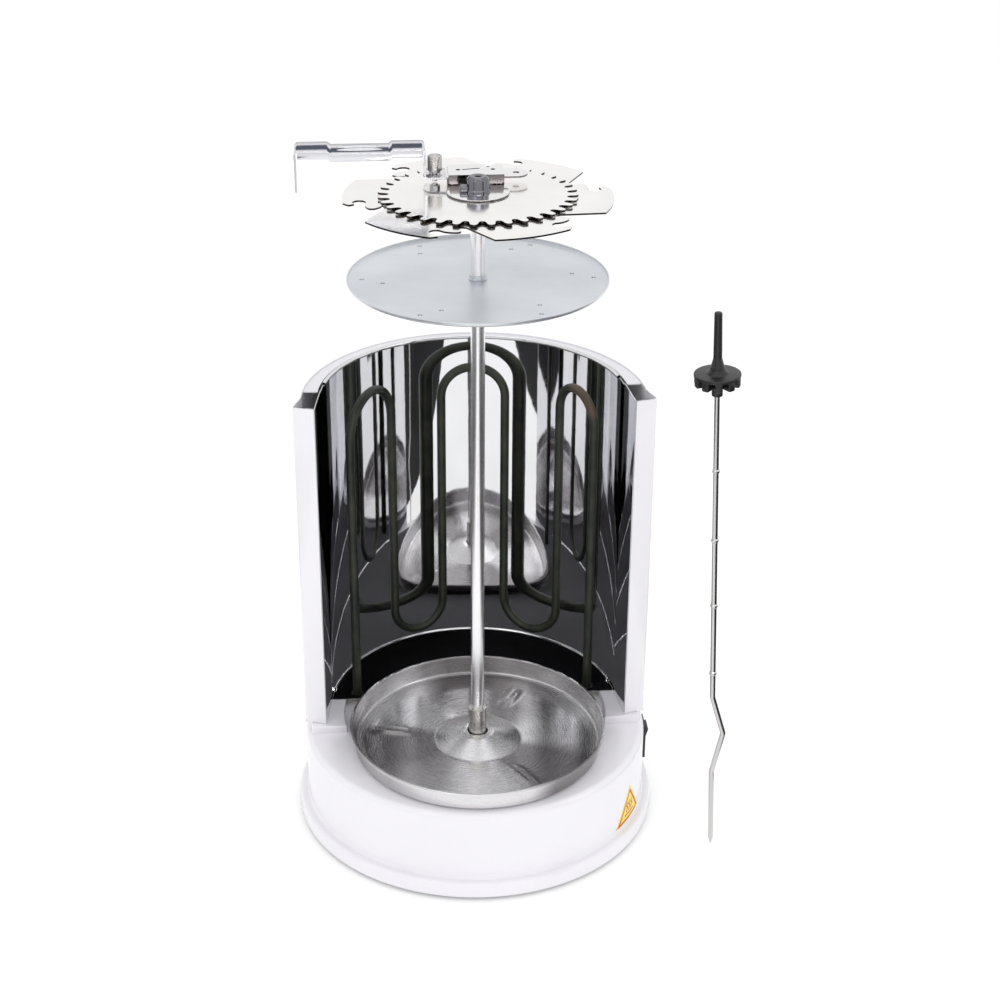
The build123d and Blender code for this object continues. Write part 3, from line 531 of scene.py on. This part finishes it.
# Chrome with grey-brown painted shade on its upright faces, for the hub washer and the hat bracket.
SIDE_SHADED_CHROME = polished_with_painted_side_shade(
    "side_shaded_chrome", (0.93, 0.92, 0.93), 0.12, 0.05, (0.20, 0.185, 0.18))
OWN_FINISHES = {
    "center_rod": polished("ground_chrome", (0.95, 0.94, 0.95), 0.26, 0.06),
    "hub": polished("dark_chrome", (0.20, 0.20, 0.22), 0.12, 0.05),
    "hub_washer": SIDE_SHADED_CHROME,
    "hat_bracket": SIDE_SHADED_CHROME,
    "skewer_rod": polished("skewer_steel", (0.62, 0.61, 0.61), 0.2, 0.06),
}


def finish_of(node):
    """A node's own finish, or else the one of its slot."""
    return OWN_FINISHES.get(node, FINISHES[SLOT_OF[node]])


def finish_cad_nodes():
    for node in SLOT_OF:
        data = frame["nodes"][node].data
        data.materials.clear()
        data.materials.append(finish_of(node))


# ---------------------------------------------------------------- modelling helpers
def pick(obj):
    """Select one object and make it active."""
    bpy.ops.object.select_all(action="DESELECT")
    obj.select_set(True)
    bpy.context.view_layer.objects.active = obj


def settle(name, scale=(1, 1, 1)):
    """Name the new primitive, and put its place and size into its mesh."""
    piece = bpy.context.object
    piece.name = piece.data.name = name
    piece.scale = scale
    bpy.ops.object.transform_apply(location=True, rotation=True, scale=True)
    return piece


def rounded(corners):
    """Outline points from (a, b) or (a, b, radius) corners, with each radius as an arc."""
    points = []
    for k, corner in enumerate(corners):
        here = Vector(corner[:2])
        if len(corner) == 2:
            points.append(here)
            continue
        radius = corner[2]
        back = (Vector(corners[k - 1][:2]) - here).normalized()
        ahead = (Vector(corners[(k + 1) % len(corners)][:2]) - here).normalized()
        half = back.angle(ahead) / 2
        reach = radius / tan(half)
        middle = here + (back + ahead).normalized() * (radius / sin(half))
        first = (here + back * reach - middle).normalized()
        last = (here + ahead * reach - middle).normalized()
        points += [middle + first.slerp(last, step / ARC_STEPS) * radius for step in range(ARC_STEPS + 1)]
    return points


def draw_line(name, points):
    """Chain of edges, drawn corner by corner."""
    bpy.ops.object.select_all(action="DESELECT")
    bpy.ops.mesh.primitive_plane_add(size=10 * MM)
    line = bpy.context.object
    line.name = line.data.name = name
    edit_all(line)
    bpy.ops.mesh.merge(type="CENTER")
    bpy.ops.transform.translate(value=points[0])
    for here, there in zip(points, points[1:]):
        bpy.ops.mesh.extrude_region_move(TRANSFORM_OT_translate={"value": Vector(there) - Vector(here)})
    bpy.ops.object.mode_set(mode="OBJECT")
    return line


def edit_all(obj):
    pick(obj)
    bpy.ops.object.mode_set(mode="EDIT")
    bpy.ops.mesh.select_mode(type="VERT")
    bpy.ops.mesh.select_all(action="SELECT")


def close_up(obj):
    """Merge doubles and turn the faces outwards."""
    edit_all(obj)
    bpy.ops.mesh.remove_doubles(threshold=0.02 * MM)
    bpy.ops.mesh.normals_make_consistent(inside=False)
    bpy.ops.object.mode_set(mode="OBJECT")


def raise_wall(line, reach):
    """Pull a drawn line out into a sheet."""
    edit_all(line)
    bpy.ops.mesh.extrude_region_move(TRANSFORM_OT_translate={"value": reach})
    bpy.ops.object.mode_set(mode="OBJECT")
    close_up(line)


def lathe(name, outline, x=0.0, y=spindle_y, steps=96):
    """Solid of revolution about an upright line from (radius, height) corners."""
    line = draw_line(name, [(x + p[0], y, p[1]) for p in rounded(outline)])
    edit_all(line)
    bpy.ops.mesh.spin(steps=steps, angle=2 * pi, center=(x, y, 0), axis=(0, 0, 1))
    bpy.ops.object.mode_set(mode="OBJECT")
    close_up(line)
    return line


def modify(obj, kind, **values):
    """Add a modifier, set it and apply it."""
    pick(obj)
    bpy.ops.object.modifier_add(type=kind)
    modifier = obj.modifiers[-1]
    for label, value in values.items():
        setattr(modifier, label, value)
    bpy.ops.object.modifier_apply(modifier=modifier.name)


def cut(obj, cutter, operation="DIFFERENCE"):
    """Take one closed piece out of another, or keep what they share."""
    modify(obj, "BOOLEAN", operation=operation, solver="EXACT", object=cutter)
    bpy.data.objects.remove(cutter)


def thicken(sheet, thickness):
    modify(sheet, "SOLIDIFY", thickness=thickness, offset=0)


def soften(obj, width, segments, limit):
    """Small round on the edges sharper than a limit in degrees."""
    modify(obj, "BEVEL", width=width, segments=segments, limit_method="ANGLE", angle_limit=radians(limit))


def rod(name, radius, z0, z1, x=0.0, y=0.0, sides=48):
    bpy.ops.object.select_all(action="DESELECT")
    bpy.ops.mesh.primitive_cylinder_add(vertices=sides, radius=radius, depth=z1 - z0,
                                        location=(x, y, (z0 + z1) / 2))
    return settle(name)


def block(name, low_corner, high_corner):
    low_corner, high_corner = Vector(low_corner), Vector(high_corner)
    bpy.ops.object.select_all(action="DESELECT")
    bpy.ops.mesh.primitive_cube_add(size=1, location=(low_corner + high_corner) / 2)
    return settle(name, high_corner - low_corner)


def turn(obj, axis, angle, centre=(0, 0, 0)):
    """Turn a piece about a line, in its mesh."""
    obj.data.transform(Matrix.Translation(centre) @ Matrix.Rotation(angle, 4, axis)
                       @ Matrix.Translation(-Vector(centre)))


def join(first, *others):
    pick(first)
    for piece in others:
        piece.select_set(True)
    bpy.ops.object.join()
    return first


def install(obj, node, angle=35):
    """Shade, finish and ride a piece as the CAD node it stands for."""
    pick(obj)
    bpy.ops.object.shade_smooth_by_angle(angle=radians(angle))
    obj.data.materials.clear()
    obj.data.materials.append(finish_of(node))
    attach(obj, BODY_OF[node])
    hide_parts(node)


# ---------------------------------------------------------------- base
WALL = 1.6 * MM
RING_TOP = 15 * MM
DRUM_R = 133 * MM
DRUM_TOP = 72 * MM
BUSH_HOLE_R = 9.05 * MM
INLET_HOLE_R = 5.9 * MM
SWITCH_LIP = 1.5 * MM
PAD_INNER = 103 * MM
PAD_OUTER = 129.5 * MM
PAD_FRONT = -16 * MM
SHELL_Y = 5 * MM          # the shell and the pad are round about this line
SKIN_Y = 13 * MM          # and the reflector about this one


def model_drum():
    """Stepped drum with its rolled lower ring, and holes for the bush, the switch and the inlet."""
    foot = housing_low.z
    drum = lathe("base_housing_skin", [
        (ring_r - WALL, foot),
        (ring_r, foot, 0.6 * MM),
        (ring_r, RING_TOP, 2.6 * MM),
        (DRUM_R + 1.6 * MM, RING_TOP + 0.3 * MM, 0.6 * MM),
        (DRUM_R, RING_TOP + 3.4 * MM, 2.5 * MM),
        (DRUM_R, DRUM_TOP, 5 * MM),
        (0, DRUM_TOP),
        (0, DRUM_TOP - WALL),
        (DRUM_R - WALL, DRUM_TOP - WALL, 3.4 * MM),
        (DRUM_R - WALL, RING_TOP - WALL),
        (ring_r - WALL, RING_TOP - WALL),
        (ring_r - WALL, foot)], y=0.0, steps=192)
    cut(drum, rod("bush_hole", BUSH_HOLE_R, DRUM_TOP - 22 * MM, DRUM_TOP + 28 * MM, 0, spindle_y))
    switch_low, switch_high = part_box("switch_frame")
    lip = Vector((0, SWITCH_LIP, SWITCH_LIP))
    cut(drum, block("switch_hole", switch_low + lip, switch_high - lip))
    inlet_low, inlet_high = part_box("cord_inlet")
    hole = rod("inlet_hole", INLET_HOLE_R, -20 * MM, 20 * MM)
    turn(hole, "X", pi / 2)
    hole.data.transform(Matrix.Translation((0, DRUM_R, (inlet_low.z + inlet_high.z) / 2)))
    cut(drum, hole)
    return drum


def model_pad():
    """Raised horseshoe that the shield stands on."""
    pad = rod("pad", PAD_OUTER, DRUM_TOP - 3 * MM, pad_top, 0, SHELL_Y, sides=192)
    cut(pad, rod("pad_hollow", PAD_INNER, 0, FAR, 0, SHELL_Y, sides=160))
    cut(pad, block("pad_front", (-FAR, -FAR, 0), (FAR, PAD_FRONT, FAR)))
    cut(pad, rod("pad_bound", DRUM_R - 0.3 * MM, 0, FAR, sides=192), "INTERSECT")
    soften(pad, 1.6 * MM, 3, 40)
    return pad


# ---------------------------------------------------------------- tray
TRAY_SHEET = 0.8 * MM
TRAY_HOLE_R = 7.6 * MM
FLOOR_RINGS = [k * 3 * MM for k in range(14, 30)]   # radii of rings close enough to shape the ribs
TRAY_RIBS = ((168, 65), (62, 68), (300, 64))        # bearing in degrees, distance from the spindle in mm
RIB_LENGTH = 36 * MM
RIB_HALF_WIDTH = 6.5 * MM
RIB_RISE = 2.3 * MM


def model_tray():
    """Pressed round tray: rolled bright rim, cone in the middle, three pressed ribs in the floor."""
    r, top, foot = tray_high.x, tray_high.z, tray_low.z
    floor = foot + TRAY_SHEET
    cone_r, hole_r = TRAY_CONE_R, TRAY_HOLE_R
    tray = lathe("drip_tray_pressing", [
        (hole_r, foot + 7 * MM),
        (hole_r + 0.4 * MM, foot + 8.2 * MM, 0.5 * MM),
        (hole_r + 5 * MM, foot + 7.6 * MM, 6 * MM),
        (cone_r, floor, 12 * MM),
        *[(ring, floor) for ring in FLOOR_RINGS],
        (r - 10 * MM, floor),
        (r - 4.4 * MM, floor + 0.6 * MM, 3 * MM),
        (r - 2.4 * MM, top - 1.6 * MM, 1 * MM),
        (r - 2.2 * MM, top, 0.5 * MM),
        (r, top, 0.8 * MM),
        (r, top - 2.2 * MM, 0.5 * MM),
        (r - 1.3 * MM, top - 2.4 * MM, 0.4 * MM),
        (r - 3.2 * MM, foot + 1.4 * MM, 2 * MM),
        (r - 6 * MM, foot),
        (cone_r, foot, 10 * MM),
        (hole_r + 5 * MM, foot + 6.6 * MM, 5 * MM),
        (hole_r, foot + 7 * MM)], steps=192)
    for bearing, distance in TRAY_RIBS:
        press_rib(tray, radians(bearing), distance * MM, foot + TRAY_SHEET / 2)
    install(tray, "drip_tray", angle=40)


def press_rib(tray, bearing, distance, above):
    """Two soft ridges side by side, raised out of the floor's upper face."""
    along = Vector((cos(bearing), sin(bearing)))
    centre = Vector((0, spindle_y)) + along * distance
    for vertex in tray.data.vertices:
        offset = Vector(vertex.co[:2]) - centre
        run = offset.dot(along) / (RIB_LENGTH / 2)
        side = offset.cross(along) / RIB_HALF_WIDTH
        if abs(run) < 1 and abs(side) < 1 and above < vertex.co.z < above + 3 * MM:
            fade = (1 - run * run) ** 0.8
            crown = 1 - side * side
            ridges = 0.5 - 0.5 * cos(2 * pi * abs(side))
            vertex.co.z += RIB_RISE * fade * (0.35 * crown + 0.65 * ridges)


# ---------------------------------------------------------------- shield
SHELL_R = 127 * MM
SHELL_SHEET = 1.0 * MM
RIM_SHEET = 0.9 * MM
RIM_INNER = 115 * MM
FLANGE_OUT = (133 * MM, -8 * MM)
FLANGE_IN = (117 * MM, -13 * MM)
SKIN_R = 113 * MM
SKIN_FRONT = 22 * MM
SKIN_SHEET = 0.6 * MM
BEAD_R = 1.6 * MM
BEAD_SHEET = 0.4 * MM
BEAD_SETBACK = 8          # degrees of the sheet's edge left plain at each end
LEG_HOLE_INSET = 7 * MM


def arc_points(radius, centre_y, start, end, steps, z):
    """Points of a level arc; angles in degrees from +X."""
    turns = [radians(start + (end - start) * k / steps) for k in range(steps + 1)]
    return [(radius * cos(a), centre_y + radius * sin(a), z) for a in turns]


def model_shell():
    """Outer enamelled sheet, folded into a front flange on each side, with a flat rim on top."""
    foot = shell_low.z
    flange = rounded([(SHELL_R, SHELL_Y), (*FLANGE_OUT, 2.2 * MM), FLANGE_IN])[1:]
    right = [(x, y, foot) for x, y in flange[::-1]]
    left = [(-x, y, foot) for x, y in flange]
    wall = draw_line("outer_shell_sheet", [*right, *arc_points(SHELL_R, SHELL_Y, 2, 178, 96, foot), *left])
    raise_wall(wall, (0, 0, shell_high.z - foot))
    thicken(wall, SHELL_SHEET)
    soften(wall, 0.3 * MM, 2, 50)
    install(join(wall, model_rim()), "outer_shell")


def model_rim():
    """Flat rim from the shell in to the reflector, whose arcs have different centres."""
    rim = draw_line("rim", arc_points(SHELL_R, SHELL_Y, 8, 172, 96, shell_high.z - 1.4 * MM))
    edit_all(rim)
    bpy.ops.mesh.extrude_region_move()
    bpy.ops.object.mode_set(mode="OBJECT")
    for vertex in rim.data.vertices:
        if vertex.select:
            arm = Vector((vertex.co.x, vertex.co.y - SKIN_Y)).normalized() * RIM_INNER
            vertex.co.x, vertex.co.y = arm.x, SKIN_Y + arm.y
    close_up(rim)
    thicken(rim, RIM_SHEET)
    return rim


def model_reflector():
    """Mirror-finished inner sheet with a hollow rolled bead along its upper and lower edges."""
    forward = SKIN_FRONT - SKIN_Y
    start = degrees(atan2(forward, sqrt(SKIN_R ** 2 - forward ** 2)))
    foot, top = skin_low.z + BEAD_R, skin_high.z - BEAD_R
    sheet = draw_line("inner_reflector_sheet", arc_points(SKIN_R, SKIN_Y, start, 180 - start, 160, foot))
    raise_wall(sheet, (0, 0, top - foot))
    thicken(sheet, SKIN_SHEET)
    beads = [model_bead(z, start + BEAD_SETBACK) for z in (foot, top)]
    install(join(sheet, *beads, model_reflector_foot()), "inner_reflector", angle=40)


def model_bead(z, start):
    """Hollow bead, spun from one end of the sheet to the other."""
    bpy.ops.object.select_all(action="DESELECT")
    bpy.ops.mesh.primitive_circle_add(vertices=24, radius=BEAD_R - 0.25 * MM, location=(SKIN_R, SKIN_Y, z),
                                      rotation=(pi / 2, 0, 0))
    bead = settle("bead")
    turn(bead, "Z", radians(start), (0, SKIN_Y, 0))
    edit_all(bead)
    bpy.ops.mesh.spin(steps=160, angle=radians(180 - 2 * start), center=(0, SKIN_Y, 0), axis=(0, 0, -1))
    bpy.ops.object.mode_set(mode="OBJECT")
    close_up(bead)
    thicken(bead, BEAD_SHEET)
    return bead


def model_reflector_foot():
    """Thin sheet on the pad behind the tray, with holes for the element's two legs."""
    foot = rod("reflector_foot", SKIN_R - 0.3 * MM, pad_top + 0.2 * MM, pad_top + 0.7 * MM,
               0, SKIN_Y, sides=160)
    cut(foot, rod("tray_gap", tray_high.x + 1 * MM, 0, FAR, 0, spindle_y, sides=160))
    cut(foot, block("front", (-FAR, -FAR, 0), (FAR, SKIN_FRONT, FAR)))
    insulators_low, insulators_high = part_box("heater_insulators")
    leg_y = (insulators_low.y + insulators_high.y) / 2
    for x in (insulators_low.x + LEG_HOLE_INSET, insulators_high.x - LEG_HOLE_INSET):
        cut(foot, rod("leg_hole", 5 * MM, 0, FAR, x, leg_y, sides=32))
    return foot


def add_tray_flag():
    """Dark crescent card behind the tray that only the reflector sees."""
    z = pad_top + 1.2 * MM
    card = rod("tray_flag", SKIN_R - 1.5 * MM, z, z + 0.2 * MM, 0, SKIN_Y, sides=96)
    cut(card, rod("tray_gap", tray_high.x + 0.6 * MM, z - 1 * MM, z + 1 * MM, 0, spindle_y, sides=96))
    card.data.materials.clear()
    card.data.materials.append(FLAG_GREY)
    hide_from_all_but_mirrors(card)


# ---------------------------------------------------------------- heating element
ELEMENT_R = 94 * MM
ELEMENT_TOP = 328 * MM
ELEMENT_BOTTOM = 100.5 * MM
TUBE_R = 3.5 * MM
LEG_BEARINGS = (-79.0, -39.7, -12.4, 18.6, 48.7, 78.5)


def model_element():
    """One tube bent up and down through six legs, drawn from end to end."""
    end_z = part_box("heating_element")[0].z
    spots = [Vector((ELEMENT_R * sin(radians(bearing)), SKIN_Y + ELEMENT_R * cos(radians(bearing))))
             for bearing in LEG_BEARINGS]
    bpy.ops.object.select_all(action="DESELECT")
    bpy.ops.mesh.primitive_circle_add(vertices=24, radius=TUBE_R, location=(*spots[0], end_z),
                                      fill_type="NGON")
    tube = settle("element_tube")
    edit_all(tube)
    z = end_z
    for k, (here, there) in enumerate(zip(spots, spots[1:])):
        upper = k % 2 == 0
        bend_r = (there - here).length / 2
        bend_z = ELEMENT_TOP - bend_r if upper else ELEMENT_BOTTOM + bend_r
        heading = (there - here).normalized()
        across = (heading.y, -heading.x, 0) if upper else (-heading.y, heading.x, 0)
        bpy.ops.mesh.extrude_region_move(TRANSFORM_OT_translate={"value": (0, 0, bend_z - z)})
        bpy.ops.mesh.spin(steps=28, angle=pi, center=(*(here + there) / 2, bend_z), axis=across)
        z = bend_z
    bpy.ops.mesh.extrude_region_move(TRANSFORM_OT_translate={"value": (0, 0, end_z - z)})
    bpy.ops.object.mode_set(mode="OBJECT")
    close_up(tube)
    install(tube, "heating_element", angle=50)


# ---------------------------------------------------------------- carousel
SPIGOT_R = 3.6 * MM
SPIGOT_BORE_R = 3.62 * MM
PLATE_SHEET = 1.0 * MM
PLATE_BORE_R = rod_r + 0.9 * MM
PLATE_HOLE_R = 1.6 * MM
PLATE_HOLES = ((80, 178), (66, 185))     # radius in mm, bearing of the first of six in degrees
COLLAR_R = 6.2 * MM
HUB_R = 7.7 * MM
HUB_BORE_R = 2.2 * MM
LUG_HALF_WIDTH = 4 * MM
STRIP_SHEET = 1.2 * MM
BEAM_LENGTH = 87 * MM
BEAM_DIP = 1.8 * MM
DIP_RUN = 2.5 * MM
SHOULDER = 7 * MM                        # cut from each side of the long leg
SCREW_HOLE_R = 2.3 * MM
FOOT_LENGTH = 15 * MM
FOOT_DROP = 19.5 * MM
LIP_DROP = 5.2 * MM
RIDGE_APART = 3.6 * MM
THUMB_HEAD = 12 * MM
THUMB_RINGS = 5
KNURLS = 36


def model_rod():
    """Ground rod with a long cone at the foot and the spigot that carries the discs."""
    body = lathe("center_rod_bar", [
        (0, rod_low.z),
        (1.5 * MM, rod_low.z, 0.5 * MM),
        (rod_r, rod_low.z + 18 * MM, 10 * MM),
        (rod_r, petal_base, 0.3 * MM),
        (SPIGOT_R, petal_base),
        (SPIGOT_R, rod_high.z, 0.4 * MM),
        (0, rod_high.z)], steps=64)
    install(body, "center_rod", angle=30)


def model_plate():
    """Spun plate with an upturned rolled rim and pairs of small punched holes."""
    r, foot, top = plate_high.x, plate_low.z, plate_high.z
    plate = lathe("skewer_plate_spinning", [
        (PLATE_BORE_R, foot),
        (r - 1.2 * MM, foot, 1.4 * MM),
        (r, foot + 1.2 * MM, 0.8 * MM),
        (r, top, 0.45 * MM),
        (r - PLATE_SHEET, top, 0.45 * MM),
        (r - 1.1 * MM, foot + 1.4 * MM, 0.6 * MM),
        (r - 3 * MM, foot + PLATE_SHEET, 1 * MM),
        (PLATE_BORE_R, foot + PLATE_SHEET),
        (PLATE_BORE_R, foot)], steps=160)
    for k in range(6):
        for distance, first in PLATE_HOLES:
            bearing = radians(60 * k + first)
            x, y = distance * MM * cos(bearing), spindle_y + distance * MM * sin(bearing)
            cut(plate, rod("hole", PLATE_HOLE_R, foot - 1 * MM, top + 1 * MM, x, y, sides=20))
    install(plate, "skewer_plate")


def model_collar():
    """Crimped collar with a flange under the plate."""
    foot, top, seat, bore = collar_low.z, collar_high.z, plate_low.z, rod_r + 0.05 * MM
    body = lathe("plate_collar_turning", [
        (bore, foot),
        (COLLAR_R, foot, 0.7 * MM),
        (COLLAR_R, seat - 1.4 * MM, 0.5 * MM),
        (COLLAR_R + 1.6 * MM, seat - 0.7 * MM, 0.3 * MM),
        (COLLAR_R + 1.6 * MM, seat),
        (PLATE_BORE_R, seat),
        (PLATE_BORE_R, seat + PLATE_SHEET),
        (COLLAR_R + 1 * MM, seat + 1.1 * MM, 0.3 * MM),
        (COLLAR_R - 0.2 * MM, seat + 2 * MM, 0.5 * MM),
        (COLLAR_R, top, 0.7 * MM),
        (bore, top),
        (bore, foot)], steps=56)
    install(body, "plate_collar")


def model_hub():
    """Turned clamping hub with a chamfered head, a centring hole and a side lug for its screw."""
    foot, top = hub_low.z, hub_high.z
    body = lathe("hub_turning", [
        (HUB_BORE_R, foot + 3 * MM),
        (SPIGOT_BORE_R, foot + 3 * MM),
        (SPIGOT_BORE_R, foot),
        (HUB_R + 1 * MM, foot),
        (HUB_R + 1 * MM, foot + 1.6 * MM, 0.4 * MM),
        (HUB_R, foot + 2.3 * MM, 0.4 * MM),
        (HUB_R, top - 2 * MM, 0.8 * MM),
        (HUB_R - 2 * MM, top, 0.6 * MM),
        (2.9 * MM, top, 0.3 * MM),
        (HUB_BORE_R, top - 0.8 * MM),
        (HUB_BORE_R, foot + 3 * MM)], steps=64)
    lug = block("lug", (hub_low.x, spindle_y - LUG_HALF_WIDTH, foot),
                (-HUB_R + 1.2 * MM, spindle_y + LUG_HALF_WIDTH, foot + 4.4 * MM))
    soften(lug, 1.0 * MM, 3, 40)
    install(join(body, lug), "hub")


def model_hub_washer():
    foot, top, r = washer_low.z, washer_high.z, washer_high.x
    body = lathe("hub_washer_turning", [
        (SPIGOT_BORE_R, foot),
        (r, foot, 0.3 * MM),
        (r, top, 0.35 * MM),
        (SPIGOT_BORE_R, top),
        (SPIGOT_BORE_R, foot)])
    install(body, "hub_washer")


def model_strip():
    """Bent strip: long leg, beam with a dipped ridged middle and a front lip, short leg and foot."""
    sheet, half = STRIP_SHEET, (strip_high.y - strip_low.y) / 2
    mid_y = (strip_high.y + strip_low.y) / 2
    left, right = strip_low.x + sheet / 2, strip_high.x
    heel = right - FOOT_LENGTH + sheet / 2
    beam = strip_high.z - sheet / 2
    dip, foot = beam - BEAM_DIP, strip_high.z - FOOT_DROP - sheet
    dip_left, dip_right = left + BEAM_LENGTH / 4, heel - BEAM_LENGTH / 4
    line = rounded([
        (left, strip_low.z),
        (left, beam, 2.0 * MM),
        (dip_left, beam, 1.2 * MM),
        (dip_left + DIP_RUN, dip, 1.2 * MM),
        (dip_right - DIP_RUN, dip, 1.2 * MM),
        (dip_right, beam, 1.2 * MM),
        (heel, beam, 2.2 * MM),
        (heel, foot, 1.8 * MM),
        (right, foot)])
    strip = draw_line("support_strip", [(x, mid_y - half, z) for x, z in line])
    raise_wall(strip, (0, 2 * half, 0))
    thicken(strip, sheet)
    for y0, y1 in ((strip_low.y - 1 * MM, strip_low.y + SHOULDER),
                   (strip_high.y - SHOULDER, strip_high.y + 1 * MM)):
        cut(strip, block("shoulder", (left - 3 * MM, y0, strip_low.z - 1 * MM),
                         (left + 3 * MM, y1, beam - 6 * MM)))
    screw_x = (thumb_low.x + thumb_high.x) / 2
    cut(strip, rod("hole", SCREW_HOLE_R, foot - 5 * MM, foot + 5 * MM, screw_x, mid_y))
    soften(strip, 0.3 * MM, 2, 50)
    ridge_z = dip + sheet / 2 - 0.3 * MM
    ridges = [model_ridge(dip_left + 6 * MM, dip_right - 6 * MM, mid_y + offset, ridge_z)
              for offset in (-RIDGE_APART, RIDGE_APART)]
    beam_line = [(x, mid_y - half + sheet / 2, z) for x, z in line
                 if left + 1.5 * MM < x < heel - 1.5 * MM and z > foot + 8 * MM]
    lip = draw_line("lip", beam_line)
    raise_wall(lip, (0, 0, -LIP_DROP))
    thicken(lip, sheet)
    soften(lip, 0.5 * MM, 3, 50)
    install(join(strip, lip, *ridges), "support_bracket", angle=40)


def model_ridge(x0, x1, y, z):
    """Long low swelling pressed out of the beam."""
    bpy.ops.object.select_all(action="DESELECT")
    bpy.ops.mesh.primitive_uv_sphere_add(segments=32, ring_count=16, radius=1, location=((x0 + x1) / 2, y, z))
    return settle("ridge", ((x1 - x0) / 2, 1.7 * MM, 1.5 * MM))


def model_thumb():
    """Knurled screw head with turned rings on its face."""
    x, y = (thumb_low.x + thumb_high.x) / 2, (thumb_low.y + thumb_high.y) / 2
    r, foot, top = (thumb_high.x - thumb_low.x) / 2, thumb_low.z, thumb_high.z
    seat = top - THUMB_HEAD
    outline = [
        (0, foot),
        (2 * MM, foot, 0.4 * MM),
        (2 * MM, seat),
        (r - 1 * MM, seat),
        (r - 1 * MM, seat + 1.1 * MM),
        (r, seat + 1.5 * MM, 0.3 * MM),
        (r, top - 0.6 * MM),
        (r - 0.6 * MM, top)]
    for k in range(THUMB_RINGS):
        ring = r - 1.0 * MM - k * 0.75 * MM
        outline += [(ring, top), (ring - 0.2 * MM, top - 0.18 * MM), (ring - 0.4 * MM, top)]
    outline.append((0, top))
    body = lathe("thumb_screw_turning", outline, x, y, steps=72)
    for vertex in body.data.vertices:
        arm = Vector((vertex.co.x - x, vertex.co.y - y))
        if arm.length > r - 0.05 * MM and vertex.co.z > seat + 2 * MM:
            notch = 0.5 + 0.5 * cos(KNURLS * atan2(arm.y, arm.x))
            arm *= 1 - 0.05 * notch
            vertex.co.x, vertex.co.y = x + arm.x, y + arm.y
    install(body, "thumb_screw", angle=25)


# ---------------------------------------------------------------- skewer
SKEWER_FOOT = Vector((178.2 * MM, -78 * MM, 0))
SKEWER_LEAN = -2.37
SKEWER_BORE_R = 2.02 * MM
BOSS_LOW = 378 * MM
GEAR_LOW = 386 * MM
GEAR_HIGH = 395 * MM
GEAR_R = 16.4 * MM
GEAR_TEETH = 10
TOOTH_HALF_WIDTH = 2.7 * MM
FIRST_TOOTH = 0.2
FLANGE_SHEET = 2.4 * MM
HANDLE_R = 2.8 * MM
HANDLE_TOP = 439.5 * MM


def model_skewer_gear():
    """Moulded gear: teeth hanging under a round flange, with a boss, a flared hub and a handle."""
    x, y, _ = SKEWER_FOOT
    body = lathe("skewer_gear_moulding", [
        (SKEWER_BORE_R, BOSS_LOW),
        (3.9 * MM, BOSS_LOW, 0.5 * MM),
        (3.9 * MM, GEAR_LOW + 1 * MM),
        (7 * MM, GEAR_LOW + 1 * MM, 0.5 * MM),
        (7 * MM, GEAR_HIGH - FLANGE_SHEET),
        (GEAR_R, GEAR_HIGH - FLANGE_SHEET, 0.4 * MM),
        (GEAR_R, GEAR_HIGH - 0.2 * MM, 0.7 * MM),
        (8 * MM, GEAR_HIGH, 1 * MM),
        (5.2 * MM, GEAR_HIGH + 2.5 * MM, 1 * MM),
        (5.0 * MM, GEAR_HIGH + 4 * MM, 1 * MM),
        (3.1 * MM, GEAR_HIGH + 11 * MM, 3 * MM),
        (HANDLE_R, HANDLE_TOP - 4 * MM),
        (HANDLE_R, HANDLE_TOP, 1.3 * MM),
        (0, HANDLE_TOP),
        (0, GEAR_LOW + 4 * MM),
        (SKEWER_BORE_R, GEAR_LOW + 4 * MM),
        (SKEWER_BORE_R, BOSS_LOW)], x, y, steps=64)
    teeth = []
    for k in range(GEAR_TEETH):
        tooth = block("tooth", (x + 6 * MM, y - TOOTH_HALF_WIDTH, GEAR_LOW),
                      (x + GEAR_R - 0.3 * MM, y + TOOTH_HALF_WIDTH, GEAR_HIGH - 2 * MM))
        soften(tooth, 1.1 * MM, 3, 40)
        turn(tooth, "Z", 2 * pi * k / GEAR_TEETH + FIRST_TOOTH, (x, y, 0))
        teeth.append(tooth)
    body = join(body, *teeth)
    turn(body, "Y", radians(SKEWER_LEAN), SKEWER_FOOT)
    install(body, "skewer_gear")


# ---------------------------------------------------------------- the whole scene
add_camera()
add_studio()
finish_cad_nodes()
install(join(model_drum(), model_pad()), "base_housing")
model_tray()
model_shell()
model_reflector()
model_element()
model_rod()
model_plate()
model_collar()
model_hub()
model_hub_washer()
model_strip()
model_thumb()
model_skewer_gear()
add_tray_flag()
